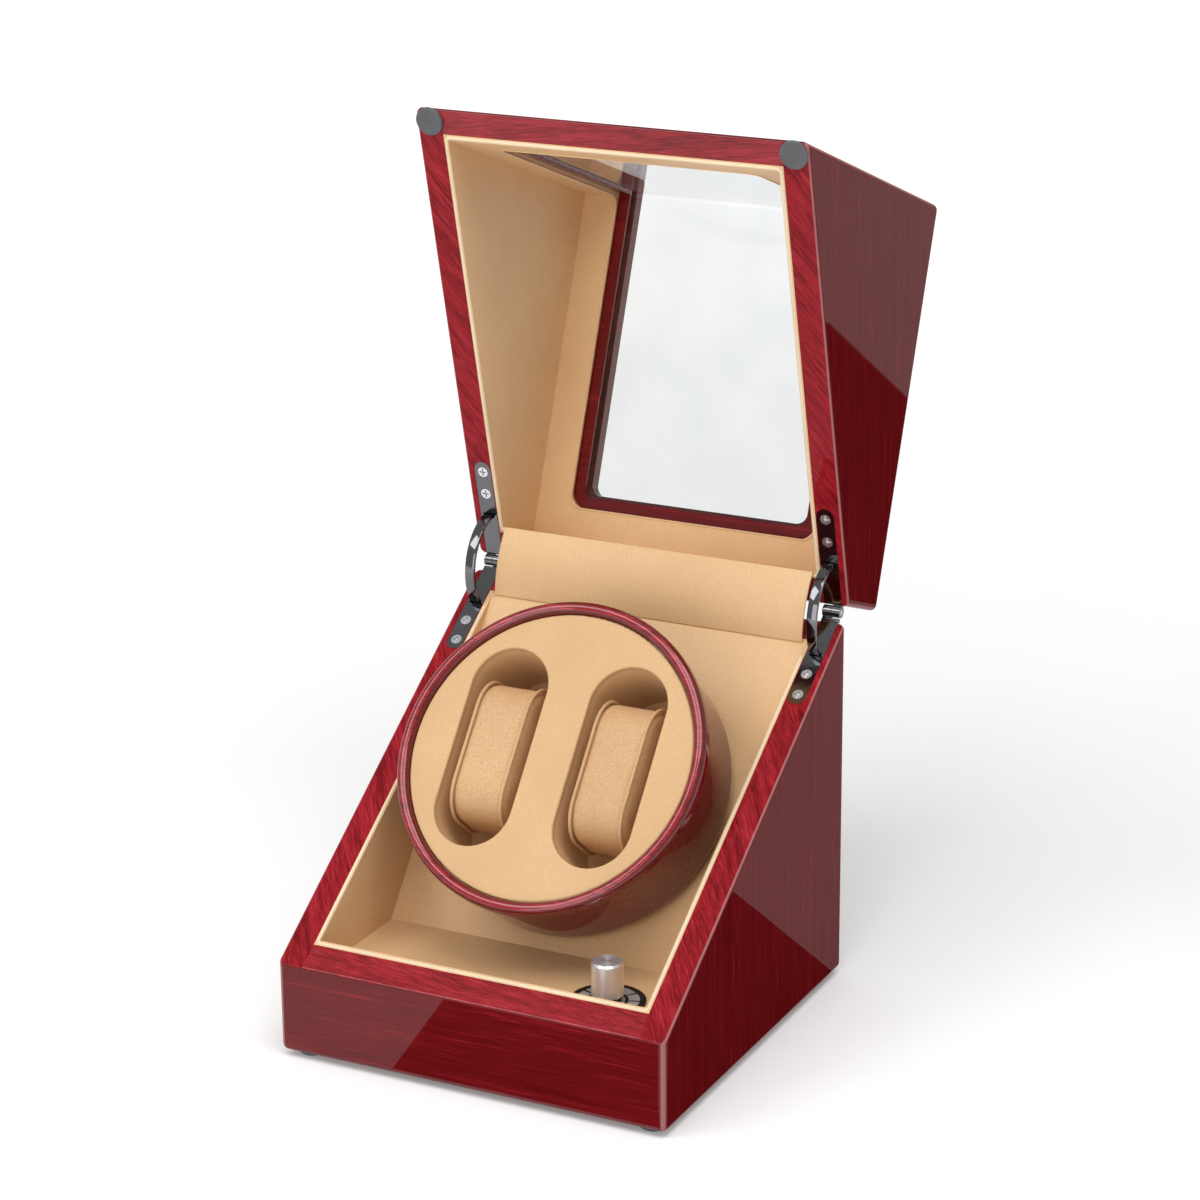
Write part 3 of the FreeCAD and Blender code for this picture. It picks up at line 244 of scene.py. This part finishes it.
def clear_pane(name):
    """Clear sheet with a faint grey cast and slight polishing marks."""
    finish, tree, shader = new_finish(name)
    vector = grain_place(tree, (1.0, 1.0, 1.0))
    haze = noise(tree, vector, 30.0, 3.0)
    colour = ramp(tree, haze, [(0.3, (0.80, 0.82, 0.825)), (0.7, (0.87, 0.88, 0.88))])
    tree.links.new(colour, shader.inputs["Base Color"])
    tree.links.new(spread(tree, haze, 0.005, 0.03), shader.inputs["Roughness"])
    shader.inputs["Transmission Weight"].default_value = 1.0
    shader.inputs["IOR"].default_value = 1.04
    shader.inputs["Coat Weight"].default_value = 1.0
    shader.inputs["Coat Roughness"].default_value = 0.01
    return finish


def turned_knob(name, centre):
    """Turned aluminium: fine circles round the knob's axis."""
    finish, tree, shader = new_finish(name)
    vector = grain_place(tree, (1.0, 1.0, 1.0), shift=(-centre[0], -centre[1], 0.0))
    flat = add(tree, "ShaderNodeVectorMath", {0: vector, 1: (1.0, 1.0, 0.0)}, operation="MULTIPLY")
    radius = add(tree, "ShaderNodeVectorMath", {0: flat.outputs["Vector"]}, operation="LENGTH")
    rings = add(tree, "ShaderNodeTexNoise", {"W": radius.outputs["Value"], "Scale": 4200.0, "Detail": 4.0},
                noise_dimensions="1D")
    split = add(tree, "ShaderNodeSeparateXYZ", {"Vector": vector})
    bands = add(tree, "ShaderNodeTexNoise", {"W": split.outputs["Z"], "Scale": 2600.0, "Detail": 4.0},
                noise_dimensions="1D")
    marks = add(tree, "ShaderNodeMath", {0: rings.outputs["Fac"], 1: bands.outputs["Fac"]},
                operation="MULTIPLY")
    colour = ramp(tree, marks.outputs["Value"], [(0.14, (0.84, 0.84, 0.85)), (0.36, (0.96, 0.96, 0.97))])
    tree.links.new(colour, shader.inputs["Base Color"])
    shader.inputs["Metallic"].default_value = 0.8
    tree.links.new(spread(tree, marks.outputs["Value"], 0.28, 0.44), shader.inputs["Roughness"])
    shader.inputs["Anisotropic"].default_value = 0.85
    shader.inputs["Anisotropic Rotation"].default_value = 0.25
    tangent = add(tree, "ShaderNodeTangent", direction_type="RADIAL", axis="Z")
    tree.links.new(tangent.outputs["Tangent"], shader.inputs["Tangent"])
    bump(tree, shader, marks.outputs["Value"], 0.10, 0.0001)
    return finish


def dial_print(name, centre):
    """Silver dial with dark rays between its positions and a black rim."""
    finish, tree, shader = new_finish(name)
    vector = grain_place(tree, (1.0, 1.0, 1.0), shift=(-centre[0], -centre[1], 0.0))
    angle = add(tree, "ShaderNodeTexGradient", {"Vector": vector}, gradient_type="RADIAL")
    silver = (0.50, 0.50, 0.49)
    dark = (0.020, 0.020, 0.022)
    rays = []
    for start in (0.54, 0.64, 0.74, 0.84, 0.94):
        rays += [(start, dark), (start + 0.016, silver)]
    rays = [(0.0, silver), (0.04, dark), (0.21, silver), (0.27, dark), (0.45, silver), *rays]
    sectors = ramp(tree, angle.outputs["Fac"], rays, "CONSTANT")
    flat = add(tree, "ShaderNodeVectorMath", {0: vector, 1: (60.0, 60.0, 0.0)}, operation="MULTIPLY")
    radius = add(tree, "ShaderNodeVectorMath", {0: flat.outputs["Vector"]}, operation="LENGTH")
    rim = ramp(tree, radius.outputs["Value"], [(0.0, (0, 0, 0)), (0.44, (1, 1, 1)), (0.52, (0, 0, 0)),
                                               (0.80, (1, 1, 1))], "CONSTANT")
    mix = add(tree, "ShaderNodeMix", {0: rim, 6: sectors, 7: (*dark, 1.0)}, data_type="RGBA")
    tree.links.new(mix.outputs[2], shader.inputs["Base Color"])
    speck = noise(tree, vector, 2200.0, 3.0)
    tree.links.new(spread(tree, speck, 0.28, 0.46), shader.inputs["Roughness"])
    shader.inputs["Metallic"].default_value = 0.35
    bump(tree, shader, speck, 0.08, 0.00005)
    return finish


def plywood(name, light, dark):
    """Stained board with a soft long grain."""
    finish, tree, shader = new_finish(name)
    vector = grain_place(tree, (5.0, 60.0, 60.0))
    streaks = noise(tree, vector, 3.0, 7.0, 0.7, 0.8)
    tree.links.new(ramp(tree, streaks, [(0.3, dark), (0.7, light)]), shader.inputs["Base Color"])
    tree.links.new(spread(tree, streaks, 0.55, 0.75), shader.inputs["Roughness"])
    bump(tree, shader, streaks, 0.2, 0.0003)
    return finish


BASE_RIM = (0.0, -math.sin(RIM_SLOPE), math.cos(RIM_SLOPE))
LID_RIM = (0.0, -math.sin(OPEN_ANGLE - RIM_SLOPE), -math.cos(OPEN_ANGLE - RIM_SLOPE))
DRUM_AXIS = (0.0, -math.sin(DRUM_TILT), math.cos(DRUM_TILT))
UPRIGHT = ((30.0, 30.0, 0.9), (0.0, 0.0, 0.0))
LENGTHWISE = ((0.9, 30.0, 30.0), (0.0, 0.0, 0.0))
ACROSS_RIM, ALONG_RIM = (26.0, 2.0, 2.0), (1.6, 26.0, 26.0)
STREAK, SKEW = math.radians(38), math.radians(8)
FRONT_GLOSS = 0.9
SIDE_RED = red_lacquer("side_red_lacquer", UPRIGHT, (ACROSS_RIM, (0.0, 0.0, -STREAK)), BASE_RIM,
                       ends=FRONT_GLOSS)
LID_SIDE_RED = red_lacquer("lid_side_red_lacquer", UPRIGHT, (ACROSS_RIM, (0.0, STREAK, 0.0)), LID_RIM,
                           ends=FRONT_GLOSS)
CROSS_RED = red_lacquer("cross_red_lacquer", LENGTHWISE, (ALONG_RIM, (0.0, 0.0, SKEW)), BASE_RIM, FRONT_GLOSS)
LID_CROSS_RED = red_lacquer("lid_cross_red_lacquer", LENGTHWISE, (ALONG_RIM, (0.0, SKEW, 0.0)), LID_RIM,
                            FRONT_GLOSS)
DRUM_RED = red_lacquer("drum_red_lacquer", LENGTHWISE, LENGTHWISE, DRUM_AXIS, 1.0, 1.55)
TAN = leather("tan_lining", (0.86, 0.595, 0.335), (0.80, 0.530, 0.280), (0.72, 0.455, 0.225))
# The drum face leather is a darker copy of the tan lining, darkened because the face catches more of the
# lamps: painted shade.
DARKENED_FACE_TAN = leather("tan_drum_face_painted_shade", (0.73, 0.480, 0.252), (0.67, 0.428, 0.214), (0.60, 0.366, 0.173))
FOLD_TAN = leather("tan_folded_edge", (0.84, 0.60, 0.35), (0.78, 0.54, 0.30), (0.70, 0.46, 0.24))
PILLOW_TAN = leather("pillow_tan", (0.72, 0.475, 0.255), (0.65, 0.405, 0.205), (0.54, 0.315, 0.148), 950.0,
                     0.0002)
CREAM = leather("cream_bead", (0.93, 0.80, 0.58), (0.87, 0.72, 0.50), (0.80, 0.62, 0.40), 1500.0, 0.00006)
# The hinge chrome's tone is set very dark to stand in for the dark surroundings the leaves mirror: painted
# reflection.
DARKENED_CHROME = bright_metal("hinge_chrome_painted_dark", (0.17, 0.17, 0.18), 0.03, span=0.06)
PIN_CHROME = bright_metal("pin_chrome", (0.62, 0.62, 0.64), 0.05, span=0.07)
SCREW_STEEL = bright_metal("screw_steel", (0.80, 0.80, 0.82), 0.20)
SHAFT_STEEL = bright_metal("shaft_steel", (0.52, 0.52, 0.54), 0.22, 300.0, (1.0, 6.0, 6.0))
CAST = bright_metal("cast_alloy", (0.56, 0.56, 0.58), 0.42, 700.0)
BRONZE = bright_metal("bush_bronze", (0.62, 0.42, 0.19), 0.26)
RUBBER = moulded("grey_rubber", (0.125, 0.132, 0.140), 0.55, 1400.0, contrast=0.6)
BLACK = moulded("black_plastic", (0.022, 0.022, 0.024), 0.45)
GEAR_WHITE = moulded("gear_acetal", (0.78, 0.76, 0.71), 0.42, contrast=0.9)
CAN = bright_metal("motor_can", (0.46, 0.47, 0.49), 0.30, 400.0)
GREEN = moulded("board_green", (0.018, 0.16, 0.07), 0.38)
WIRE = moulded("wire_black", (0.03, 0.03, 0.032), 0.40)
PANE = clear_pane("window_sheet")
KNOB = turned_knob("turned_knob", (KNOB_CENTRE[0], KNOB_CENTRE[1] - ORIGIN_Y))
DIAL = dial_print("dial_print", (KNOB_CENTRE[0], KNOB_CENTRE[1] - ORIGIN_Y))
BOARD = plywood("stained_board", (0.115, 0.045, 0.026), (0.050, 0.018, 0.012))

NODE_FINISH = {
    "base_left_board": SIDE_RED, "base_right_board": SIDE_RED, "base_front_board": CROSS_RED,
    "base_back_board": CROSS_RED, "lid_left_board": LID_SIDE_RED, "lid_right_board": LID_SIDE_RED,
    "lid_front_frame": LID_CROSS_RED, "lid_top_frame": LID_CROSS_RED, "lid_back_board": LID_CROSS_RED,
    "drum_shell": DRUM_RED, "floor_panel": TAN, "deck_panel": TAN, "base_side_liners": TAN,
    "base_front_liner": TAN, "lid_side_liners": TAN, "lid_window_liner": TAN, "drum_face": DARKENED_FACE_TAN,
    "slot_wells": TAN, "left_base_leaf": DARKENED_CHROME, "right_base_leaf": DARKENED_CHROME, "left_lid_leaf": DARKENED_CHROME,
    "right_lid_leaf": DARKENED_CHROME, "hinge_stays": DARKENED_CHROME, "hinge_pins": PIN_CHROME, "selector_nut": DARKENED_CHROME,
    "base_leaf_screws": SCREW_STEEL, "lid_leaf_screws": SCREW_STEEL, "bottom_screws": SCREW_STEEL,
    "hub_screws": SCREW_STEEL, "mechanism_screws": SCREW_STEEL, "window_pane": PANE, "feet": RUBBER,
    "lid_bumpers": RUBBER, "bottom_cover": BOARD, "corner_blocks": BOARD, "knob": KNOB, "dial_plate": DIAL,
    "shaft_bushes": BRONZE, "bearing_block": CAST, "drum_hub": CAST, "drum_shaft": SHAFT_STEEL,
    "shaft_clip": SHAFT_STEEL, "motor_shaft": SHAFT_STEEL, "selector_spindle": SHAFT_STEEL,
    "motor_posts": SHAFT_STEEL, "motor_bracket": SHAFT_STEEL, "drum_gear": GEAR_WHITE, "pinion": GEAR_WHITE,
    "selector_switch": BLACK, "power_jack": BLACK, "jack_nut": BLACK, "gearbox": BLACK, "motor": CAN,
    "control_board": GREEN, "power_lead": WIRE, "motor_lead": WIRE,
}


def dress_nodes():
    for name, finish in NODE_FINISH.items():
        slots = NODES[name].material_slots
        for slot in slots:
            slot.link = "DATA"
            slot.material = finish


# Modelling helpers

def only(obj):
    bpy.ops.object.select_all(action="DESELECT")
    obj.select_set(True)
    bpy.context.view_layer.objects.active = obj


def fresh(name):
    """The object that an operator has just added, named."""
    obj = bpy.context.active_object
    obj.name = name
    obj.data.name = name
    return obj


def settle(obj, place):
    """Put an object where it belongs, with its place in its mesh."""
    obj.matrix_world = place
    only(obj)
    bpy.ops.object.transform_apply(location=True, rotation=True, scale=True)


def wear(obj, finish, body):
    obj.data.materials.clear()
    obj.data.materials.append(finish)
    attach(obj, body)


def soften(obj, angle=40.0):
    only(obj)
    bpy.ops.object.shade_smooth_by_angle(angle=math.radians(angle))


def bead_along(name, points, radius, closed, corner=0.0):
    """A round bead that follows a line of points."""
    bpy.ops.object.select_all(action="DESELECT")
    bpy.ops.mesh.primitive_circle_add(vertices=len(points), fill_type="NOTHING")
    bead = fresh(name)
    for vertex, point in zip(bead.data.vertices, points):
        vertex.co = point
    last = len(points) - 1
    if not closed:
        bpy.ops.object.mode_set(mode="EDIT")
        bpy.ops.mesh.select_mode(type="EDGE")
        bpy.ops.mesh.select_all(action="DESELECT")
        bpy.ops.object.mode_set(mode="OBJECT")
        for edge in bead.data.edges:
            edge.select = set(edge.vertices) == {0, last}
        bpy.ops.object.mode_set(mode="EDIT")
        bpy.ops.mesh.delete(type="EDGE")
        bpy.ops.object.mode_set(mode="OBJECT")
    if corner:
        bpy.ops.object.mode_set(mode="EDIT")
        bpy.ops.mesh.select_mode(type="VERT")
        bpy.ops.mesh.select_all(action="SELECT")
        bpy.ops.mesh.bevel(offset=corner, segments=5, affect="VERTICES")
        bpy.ops.object.mode_set(mode="OBJECT")
    only(bead)
    bpy.ops.object.convert(target="CURVE")
    bead = bpy.context.active_object
    bead.data.bevel_depth = radius
    bead.data.bevel_resolution = 3
    bead.data.use_fill_caps = not closed
    bpy.ops.object.convert(target="MESH")
    bead = fresh(name)
    soften(bead, 60)
    return bead


# Beads along the rims and the window

RIM_BEAD_HALF, RIM_BEAD_FRONT = 0.077, 0.0110
LOWER_BEAD_BACK, LID_BEAD_BACK = 0.1625, 0.1690
RIM_BEAD_RADIUS, RIM_BEAD_CORNER, RIM_BEAD_SINK = 0.0009, 0.0022, 0.00035


def rim_path(back):
    """The bead's corners seen from above, from back right round the front to back left."""
    return [(RIM_BEAD_HALF, back), (RIM_BEAD_HALF, RIM_BEAD_FRONT), (-RIM_BEAD_HALF, RIM_BEAD_FRONT),
            (-RIM_BEAD_HALF, back)]


def rim_beads():
    points = [TO_PART @ Vector((x, y, base_rim(y) - RIM_BEAD_SINK)) for x, y in rim_path(LOWER_BEAD_BACK)]
    bead = bead_along("lower_rim_bead", points, RIM_BEAD_RADIUS, False, RIM_BEAD_CORNER)
    wear(bead, CREAM, "base")
    points = [TO_PART @ LID_OPEN @ Vector((x, y, lid_rim(y) + RIM_BEAD_SINK))
              for x, y in rim_path(LID_BEAD_BACK)]
    bead = bead_along("lid_rim_bead", points, RIM_BEAD_RADIUS, True, RIM_BEAD_CORNER)
    wear(bead, CREAM, "lid")


def window_bead():
    half, sill, rear, face, ceiling = 0.0600, 0.0645, 0.1539, 0.0119, 0.1856
    loop = [(half, face, sill), (half, face, ceiling), (half, rear, ceiling), (-half, rear, ceiling),
            (-half, face, ceiling), (-half, face, sill)]
    points = [TO_PART @ LID_OPEN @ Vector(p) for p in loop]
    bead = bead_along("window_bead", points, 0.0005, True, 0.0055)
    wear(bead, FOLD_TAN, "lid")


# Leather flap over the hinge gap

def hinge_flap():
    reach, half, rise = 0.0180, 0.0745, 0.0025
    ease = (FLAP_STANDOFF - RIM_GAP) / reach
    start, end = math.pi - OPEN_ANGLE + ease, math.pi - ease
    middle = (start + end) / 2
    low, high = (Vector((0.0, reach * math.cos(t), reach * math.sin(t))) for t in (end, start))
    crown = Vector((0.0, math.cos(middle), math.sin(middle)))
    bpy.ops.object.select_all(action="DESELECT")
    bpy.ops.mesh.primitive_grid_add(x_subdivisions=24, y_subdivisions=30, size=2.0)
    flap = fresh("leather_flap")
    for vertex in flap.data.vertices:
        across, along = vertex.co.x, (vertex.co.y + 1) / 2
        spot = low.lerp(high, along) + crown * rise * 4 * along * (1 - along)
        vertex.co = (half * across, spot.y, spot.z)
    only(flap)
    bpy.ops.object.mode_set(mode="EDIT")
    bpy.ops.mesh.select_all(action="SELECT")
    bpy.ops.mesh.normals_make_consistent(inside=False)
    bpy.ops.object.mode_set(mode="OBJECT")
    thick = flap.modifiers.new("thickness", "SOLIDIFY")
    thick.thickness = 0.0009
    thick.offset = 0.0
    bpy.ops.object.modifier_apply(modifier=thick.name)
    settle(flap, RIM_PLACE)
    soften(flap, 60)
    flap.data.materials.clear()
    flap.data.materials.append(TAN)
    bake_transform(flap)
    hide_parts("hinge_flap")


# Curved stays of the hinges

def stay_arcs():
    bpy.ops.object.select_all(action="DESELECT")
    arcs = []
    for sign in (-1, 1):
        bpy.ops.mesh.primitive_grid_add(x_subdivisions=1, y_subdivisions=64, size=2.0)
        arc = fresh("curved_stays")
        for vertex in arc.data.vertices:
            turn = STAY_FROM + (STAY_TO - STAY_FROM) * (vertex.co.y + 1) / 2
            vertex.co = (sign * STAY_MIDDLE + vertex.co.x * STAY_WIDTH / 2,
                         STAY_RADIUS * math.cos(turn), STAY_RADIUS * math.sin(turn))
        only(arc)
        thick = arc.modifiers.new("thickness", "SOLIDIFY")
        thick.thickness = STAY_THICK
        thick.offset = 0.0
        bpy.ops.object.modifier_apply(modifier=thick.name)
        eased = arc.modifiers.new("eased_edges", "BEVEL")
        eased.width = 0.0003
        eased.segments = 3
        eased.limit_method = "ANGLE"
        bpy.ops.object.modifier_apply(modifier=eased.name)
        arcs.append(arc)
    only(arcs[0])
    arcs[1].select_set(True)
    bpy.ops.object.join()
    settle(arcs[0], RIM_PLACE)
    soften(arcs[0], 35)
    wear(arcs[0], DARKENED_CHROME, "stays")
    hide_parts("hinge_stays")


# Pillows

PILLOW_HALF = Vector((0.0133, 0.0322, 0.0212))
PILLOW_MIDDLE = -0.0226
PILLOW_CORNER = 0.0145
SWELL_LIMIT = 0.0016
CREASE_DEPTH, CREASE_WIDTH = 0.00055, 0.035
CREASE_LINES = (0.45, 0.70, 0.95)
PIPING_RADIUS, PIPING_PLACE = 0.00075, 0.0116


def plump(shape):
    """Swell a padded shape under pressure and hold each point near its start."""
    only(shape)
    rest = [v.co.copy() for v in shape.data.vertices]
    cloth = shape.modifiers.new("stuffing", "CLOTH")
    cloth.settings.use_pressure = True
    cloth.settings.uniform_pressure_force = 4.0
    cloth.settings.effector_weights.gravity = 0.0
    cloth.settings.tension_stiffness = 30.0
    cloth.settings.bending_stiffness = 2.0
    scene = bpy.context.scene
    for step in range(1, 16):
        scene.frame_set(step)
    only(shape)
    bpy.ops.object.modifier_apply(modifier=cloth.name)
    scene.frame_set(1)
    for vertex, start in zip(shape.data.vertices, rest):
        shift = vertex.co - start
        if shift.length > SWELL_LIMIT:
            vertex.co = start + shift.normalized() * SWELL_LIMIT


def pillow_body(name):
    """A stuffed cuff: rounded block, drawn in at both sides, then swollen."""
    bpy.ops.object.select_all(action="DESELECT")
    bpy.ops.mesh.primitive_cube_add(size=2.0)
    shape = fresh(name)
    shape.scale = PILLOW_HALF * 0.955
    only(shape)
    bpy.ops.object.transform_apply(location=False, rotation=False, scale=True)
    bpy.ops.object.mode_set(mode="EDIT")
    bpy.ops.mesh.select_mode(type="EDGE")
    bpy.ops.mesh.select_all(action="DESELECT")
    bpy.ops.object.mode_set(mode="OBJECT")
    for edge in shape.data.edges:
        first, second = (shape.data.vertices[i].co for i in edge.vertices)
        edge.select = abs(first.x - second.x) > 0.001
    bpy.ops.object.mode_set(mode="EDIT")
    bpy.ops.mesh.bevel(offset=PILLOW_CORNER, segments=10)
    bpy.ops.mesh.select_all(action="SELECT")
    bpy.ops.object.mode_set(mode="OBJECT")
    soft_edge = shape.modifiers.new("soft_edge", "BEVEL")
    soft_edge.width = 0.0034
    soft_edge.segments = 4
    bpy.ops.object.modifier_apply(modifier=soft_edge.name)
    skin = shape.modifiers.new("skin", "REMESH")
    skin.mode = "VOXEL"
    skin.voxel_size = 0.0016
    bpy.ops.object.modifier_apply(modifier=skin.name)
    plump(shape)
    return shape


def dent_sides(shape):
    """Press nested curved creases into the two flat sides, as the stuffing pulls them."""
    for vertex in shape.data.vertices:
        u, v, n = vertex.co
        if abs(u) < PILLOW_HALF.x * 0.72:
            continue
        bow = math.hypot((n + 0.012) / 0.0145, v / 0.0275)
        crease = 0.0
        for line in CREASE_LINES:
            crease += math.exp(-((bow - line) / CREASE_WIDTH) ** 2)
        vertex.co.x -= math.copysign(CREASE_DEPTH * crease, u)


def pillow_pieces():
    shape = pillow_body("pillow_stuffing")
    dent_sides(shape)
    only(shape)
    finer = shape.modifiers.new("finer", "SUBSURF")
    finer.levels = 1
    finer.render_levels = 1
    bpy.ops.object.modifier_apply(modifier=finer.name)
    bpy.ops.object.shade_smooth()
    outline = []
    radius, half_v, half_n = PILLOW_CORNER, PILLOW_HALF.y * 0.975, PILLOW_HALF.z * 0.975
    for sign_v, sign_n, start in ((1, 1, 0), (-1, 1, 90), (-1, -1, 180), (1, -1, 270)):
        for step in range(9):
            turn = math.radians(start + step * 90 / 8)
            outline.append((sign_v * (half_v - radius) + radius * math.cos(turn),
                            sign_n * (half_n - radius) + radius * math.sin(turn)))
    for side, sign in (("left", -1), ("right", 1)):
        place = DRUM_PLACE @ Matrix.Translation((sign * SLOT_OFFSET, 0.0, PILLOW_MIDDLE))
        pillow = bpy.data.objects.new(side + "_stuffed_pillow", shape.data.copy())
        bpy.context.collection.objects.link(pillow)
        settle(pillow, place)
        wear(pillow, PILLOW_TAN, side + "_cuff")
        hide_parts(side + "_pillow")
        for edge_name, u in (("inner", -sign * PIPING_PLACE), ("outer", sign * PIPING_PLACE)):
            cord = bead_along(side + "_" + edge_name + "_piping",
                              [place @ Vector((u, v, n)) for v, n in outline], PIPING_RADIUS, True)
            wear(cord, PILLOW_TAN, side + "_cuff")
    bpy.data.objects.remove(shape, do_unlink=True)


# Studio

def aimed(kind, name, where, at, **settings):
    bpy.ops.object.select_all(action="DESELECT")
    bpy.ops.object.light_add(type=kind, location=where)
    lamp = bpy.context.active_object
    lamp.name = name
    lamp.rotation_euler = (Vector(at) - Vector(where)).to_track_quat("-Z", "Y").to_euler()
    for key, value in settings.items():
        setattr(lamp.data, key, value)


def white_for_sight(tree):
    """A factor of one for rays from the camera, mirror rays and rays through clear pieces."""
    path = add(tree, "ShaderNodeLightPath")
    both = add(tree, "ShaderNodeMath", {0: path.outputs["Is Camera Ray"], 1: path.outputs["Is Glossy Ray"]},
               operation="MAXIMUM")
    return add(tree, "ShaderNodeMath", {0: both.outputs["Value"], 1: path.outputs["Is Transmission Ray"]},
               operation="MAXIMUM").outputs["Value"]


def flag(name, outline):
    """A dark studio flag on the floor that only mirror surfaces see."""
    bpy.ops.object.select_all(action="DESELECT")
    bpy.ops.mesh.primitive_circle_add(vertices=len(outline), fill_type="NGON")
    sheet = fresh(name)
    for vertex, (x, y) in zip(sheet.data.vertices, outline):
        vertex.co = TO_PART @ Vector((x, y, 0.0004 - FOOT_HEIGHT))
    finish, tree, shader = new_finish(name)
    cloth = noise(tree, grain_place(tree, (1.0, 1.0, 1.0)), 400.0)
    tree.links.new(ramp(tree, cloth, [(0.3, (0.010, 0.010, 0.010)), (0.7, (0.020, 0.020, 0.020))]),
                   shader.inputs["Base Color"])
    shader.inputs["Roughness"].default_value = 0.9
    shader.inputs["Specular IOR Level"].default_value = 0.0
    sheet.data.materials.append(finish)
    for sight in ("camera", "diffuse", "shadow", "transmission"):
        setattr(sheet, "visible_" + sight, False)


def studio():
    bpy.ops.object.select_all(action="DESELECT")
    bpy.ops.mesh.primitive_plane_add(size=14.0, location=(0.0, 0.0, 0.0))
    floor = fresh("studio_floor")
    finish, tree, shader = new_finish("studio_floor")
    vector = grain_place(tree, (1.0, 1.0, 1.0))
    colour = ramp(tree, noise(tree, vector, 3.0), [(0.3, (0.90, 0.90, 0.90)), (0.7, (0.93, 0.93, 0.93))])
    tree.links.new(colour, shader.inputs["Base Color"])
    shader.inputs["Specular IOR Level"].default_value = 0.0
    shader.inputs["Emission Color"].default_value = (1.0, 1.0, 1.0, 1.0)
    reach = add(tree, "ShaderNodeVectorMath", {0: vector}, operation="LENGTH")
    far = add(tree, "ShaderNodeMapRange", {"Value": reach.outputs["Value"], "From Min": 0.3, "From Max": 1.7,
                                           "To Min": 0.14, "To Max": 0.62})
    lift = add(tree, "ShaderNodeMath", {0: white_for_sight(tree), 1: far.outputs["Result"]},
               operation="MULTIPLY")
    tree.links.new(lift.outputs["Value"], shader.inputs["Emission Strength"])
    floor.data.materials.append(finish)
    flag("front_flag", [(-0.040, -0.005), (0.090, -0.005), (0.050, -0.080), (-0.055, -0.080)])
    flag("side_flag", [(0.090, -0.010), (0.090, 0.175), (0.170, 0.240), (0.140, 0.040)])
    flag("lid_flag", [(0.23, 0.63), (0.41, 1.06), (0.55, 1.24), (0.70, 1.25), (0.33, 0.65)])
    world = bpy.data.worlds.new("studio")
    bpy.context.scene.world = world
    world.use_nodes = True
    tree = world.node_tree
    back = tree.nodes["Background"]
    back.inputs["Color"].default_value = (1.0, 1.0, 1.0, 1.0)
    back.inputs["Strength"].default_value = 0.50
    aimed("AREA", "key", (-0.75, -0.95, 1.45), (0.0, -0.05, 0.15), size=0.7, energy=6.5)
    aimed("AREA", "top", (0.35, -0.45, 1.60), (0.0, -0.05, 0.15), size=1.0, energy=12.0)
    aimed("AREA", "front", (-0.1, -1.7, 0.55), (0.0, 0.0, 0.22), size=1.0, energy=6.5)


def camera():
    bpy.ops.object.camera_add()
    view = bpy.context.active_object
    turn, lift, roll = math.radians(26.7753), math.radians(18.7291), math.radians(-0.4641)
    back = Vector((math.sin(turn) * math.cos(lift), -math.cos(turn) * math.cos(lift), math.sin(lift)))
    right = Vector((math.cos(turn), math.sin(turn), 0.0))
    up = back.cross(right)
    level, upright = right, up
    right = level * math.cos(roll) + upright * math.sin(roll)
    up = upright * math.cos(roll) - level * math.sin(roll)
    place = Matrix((right, up, back)).transposed().to_4x4()
    place.translation = TO_PART @ Vector((0.65521, -1.17430, 0.66856))
    view.matrix_world = place
    view.data.sensor_width = 36.0
    view.data.lens = 3613.18 / 1200.0 * 36.0
    view.data.clip_end = 60.0
    bpy.context.scene.camera = view


bpy.context.scene.view_settings.view_transform = "Standard"
dress_nodes()
rim_beads()
window_bead()
hinge_flap()
stay_arcs()
pillow_pieces()
studio()
camera()
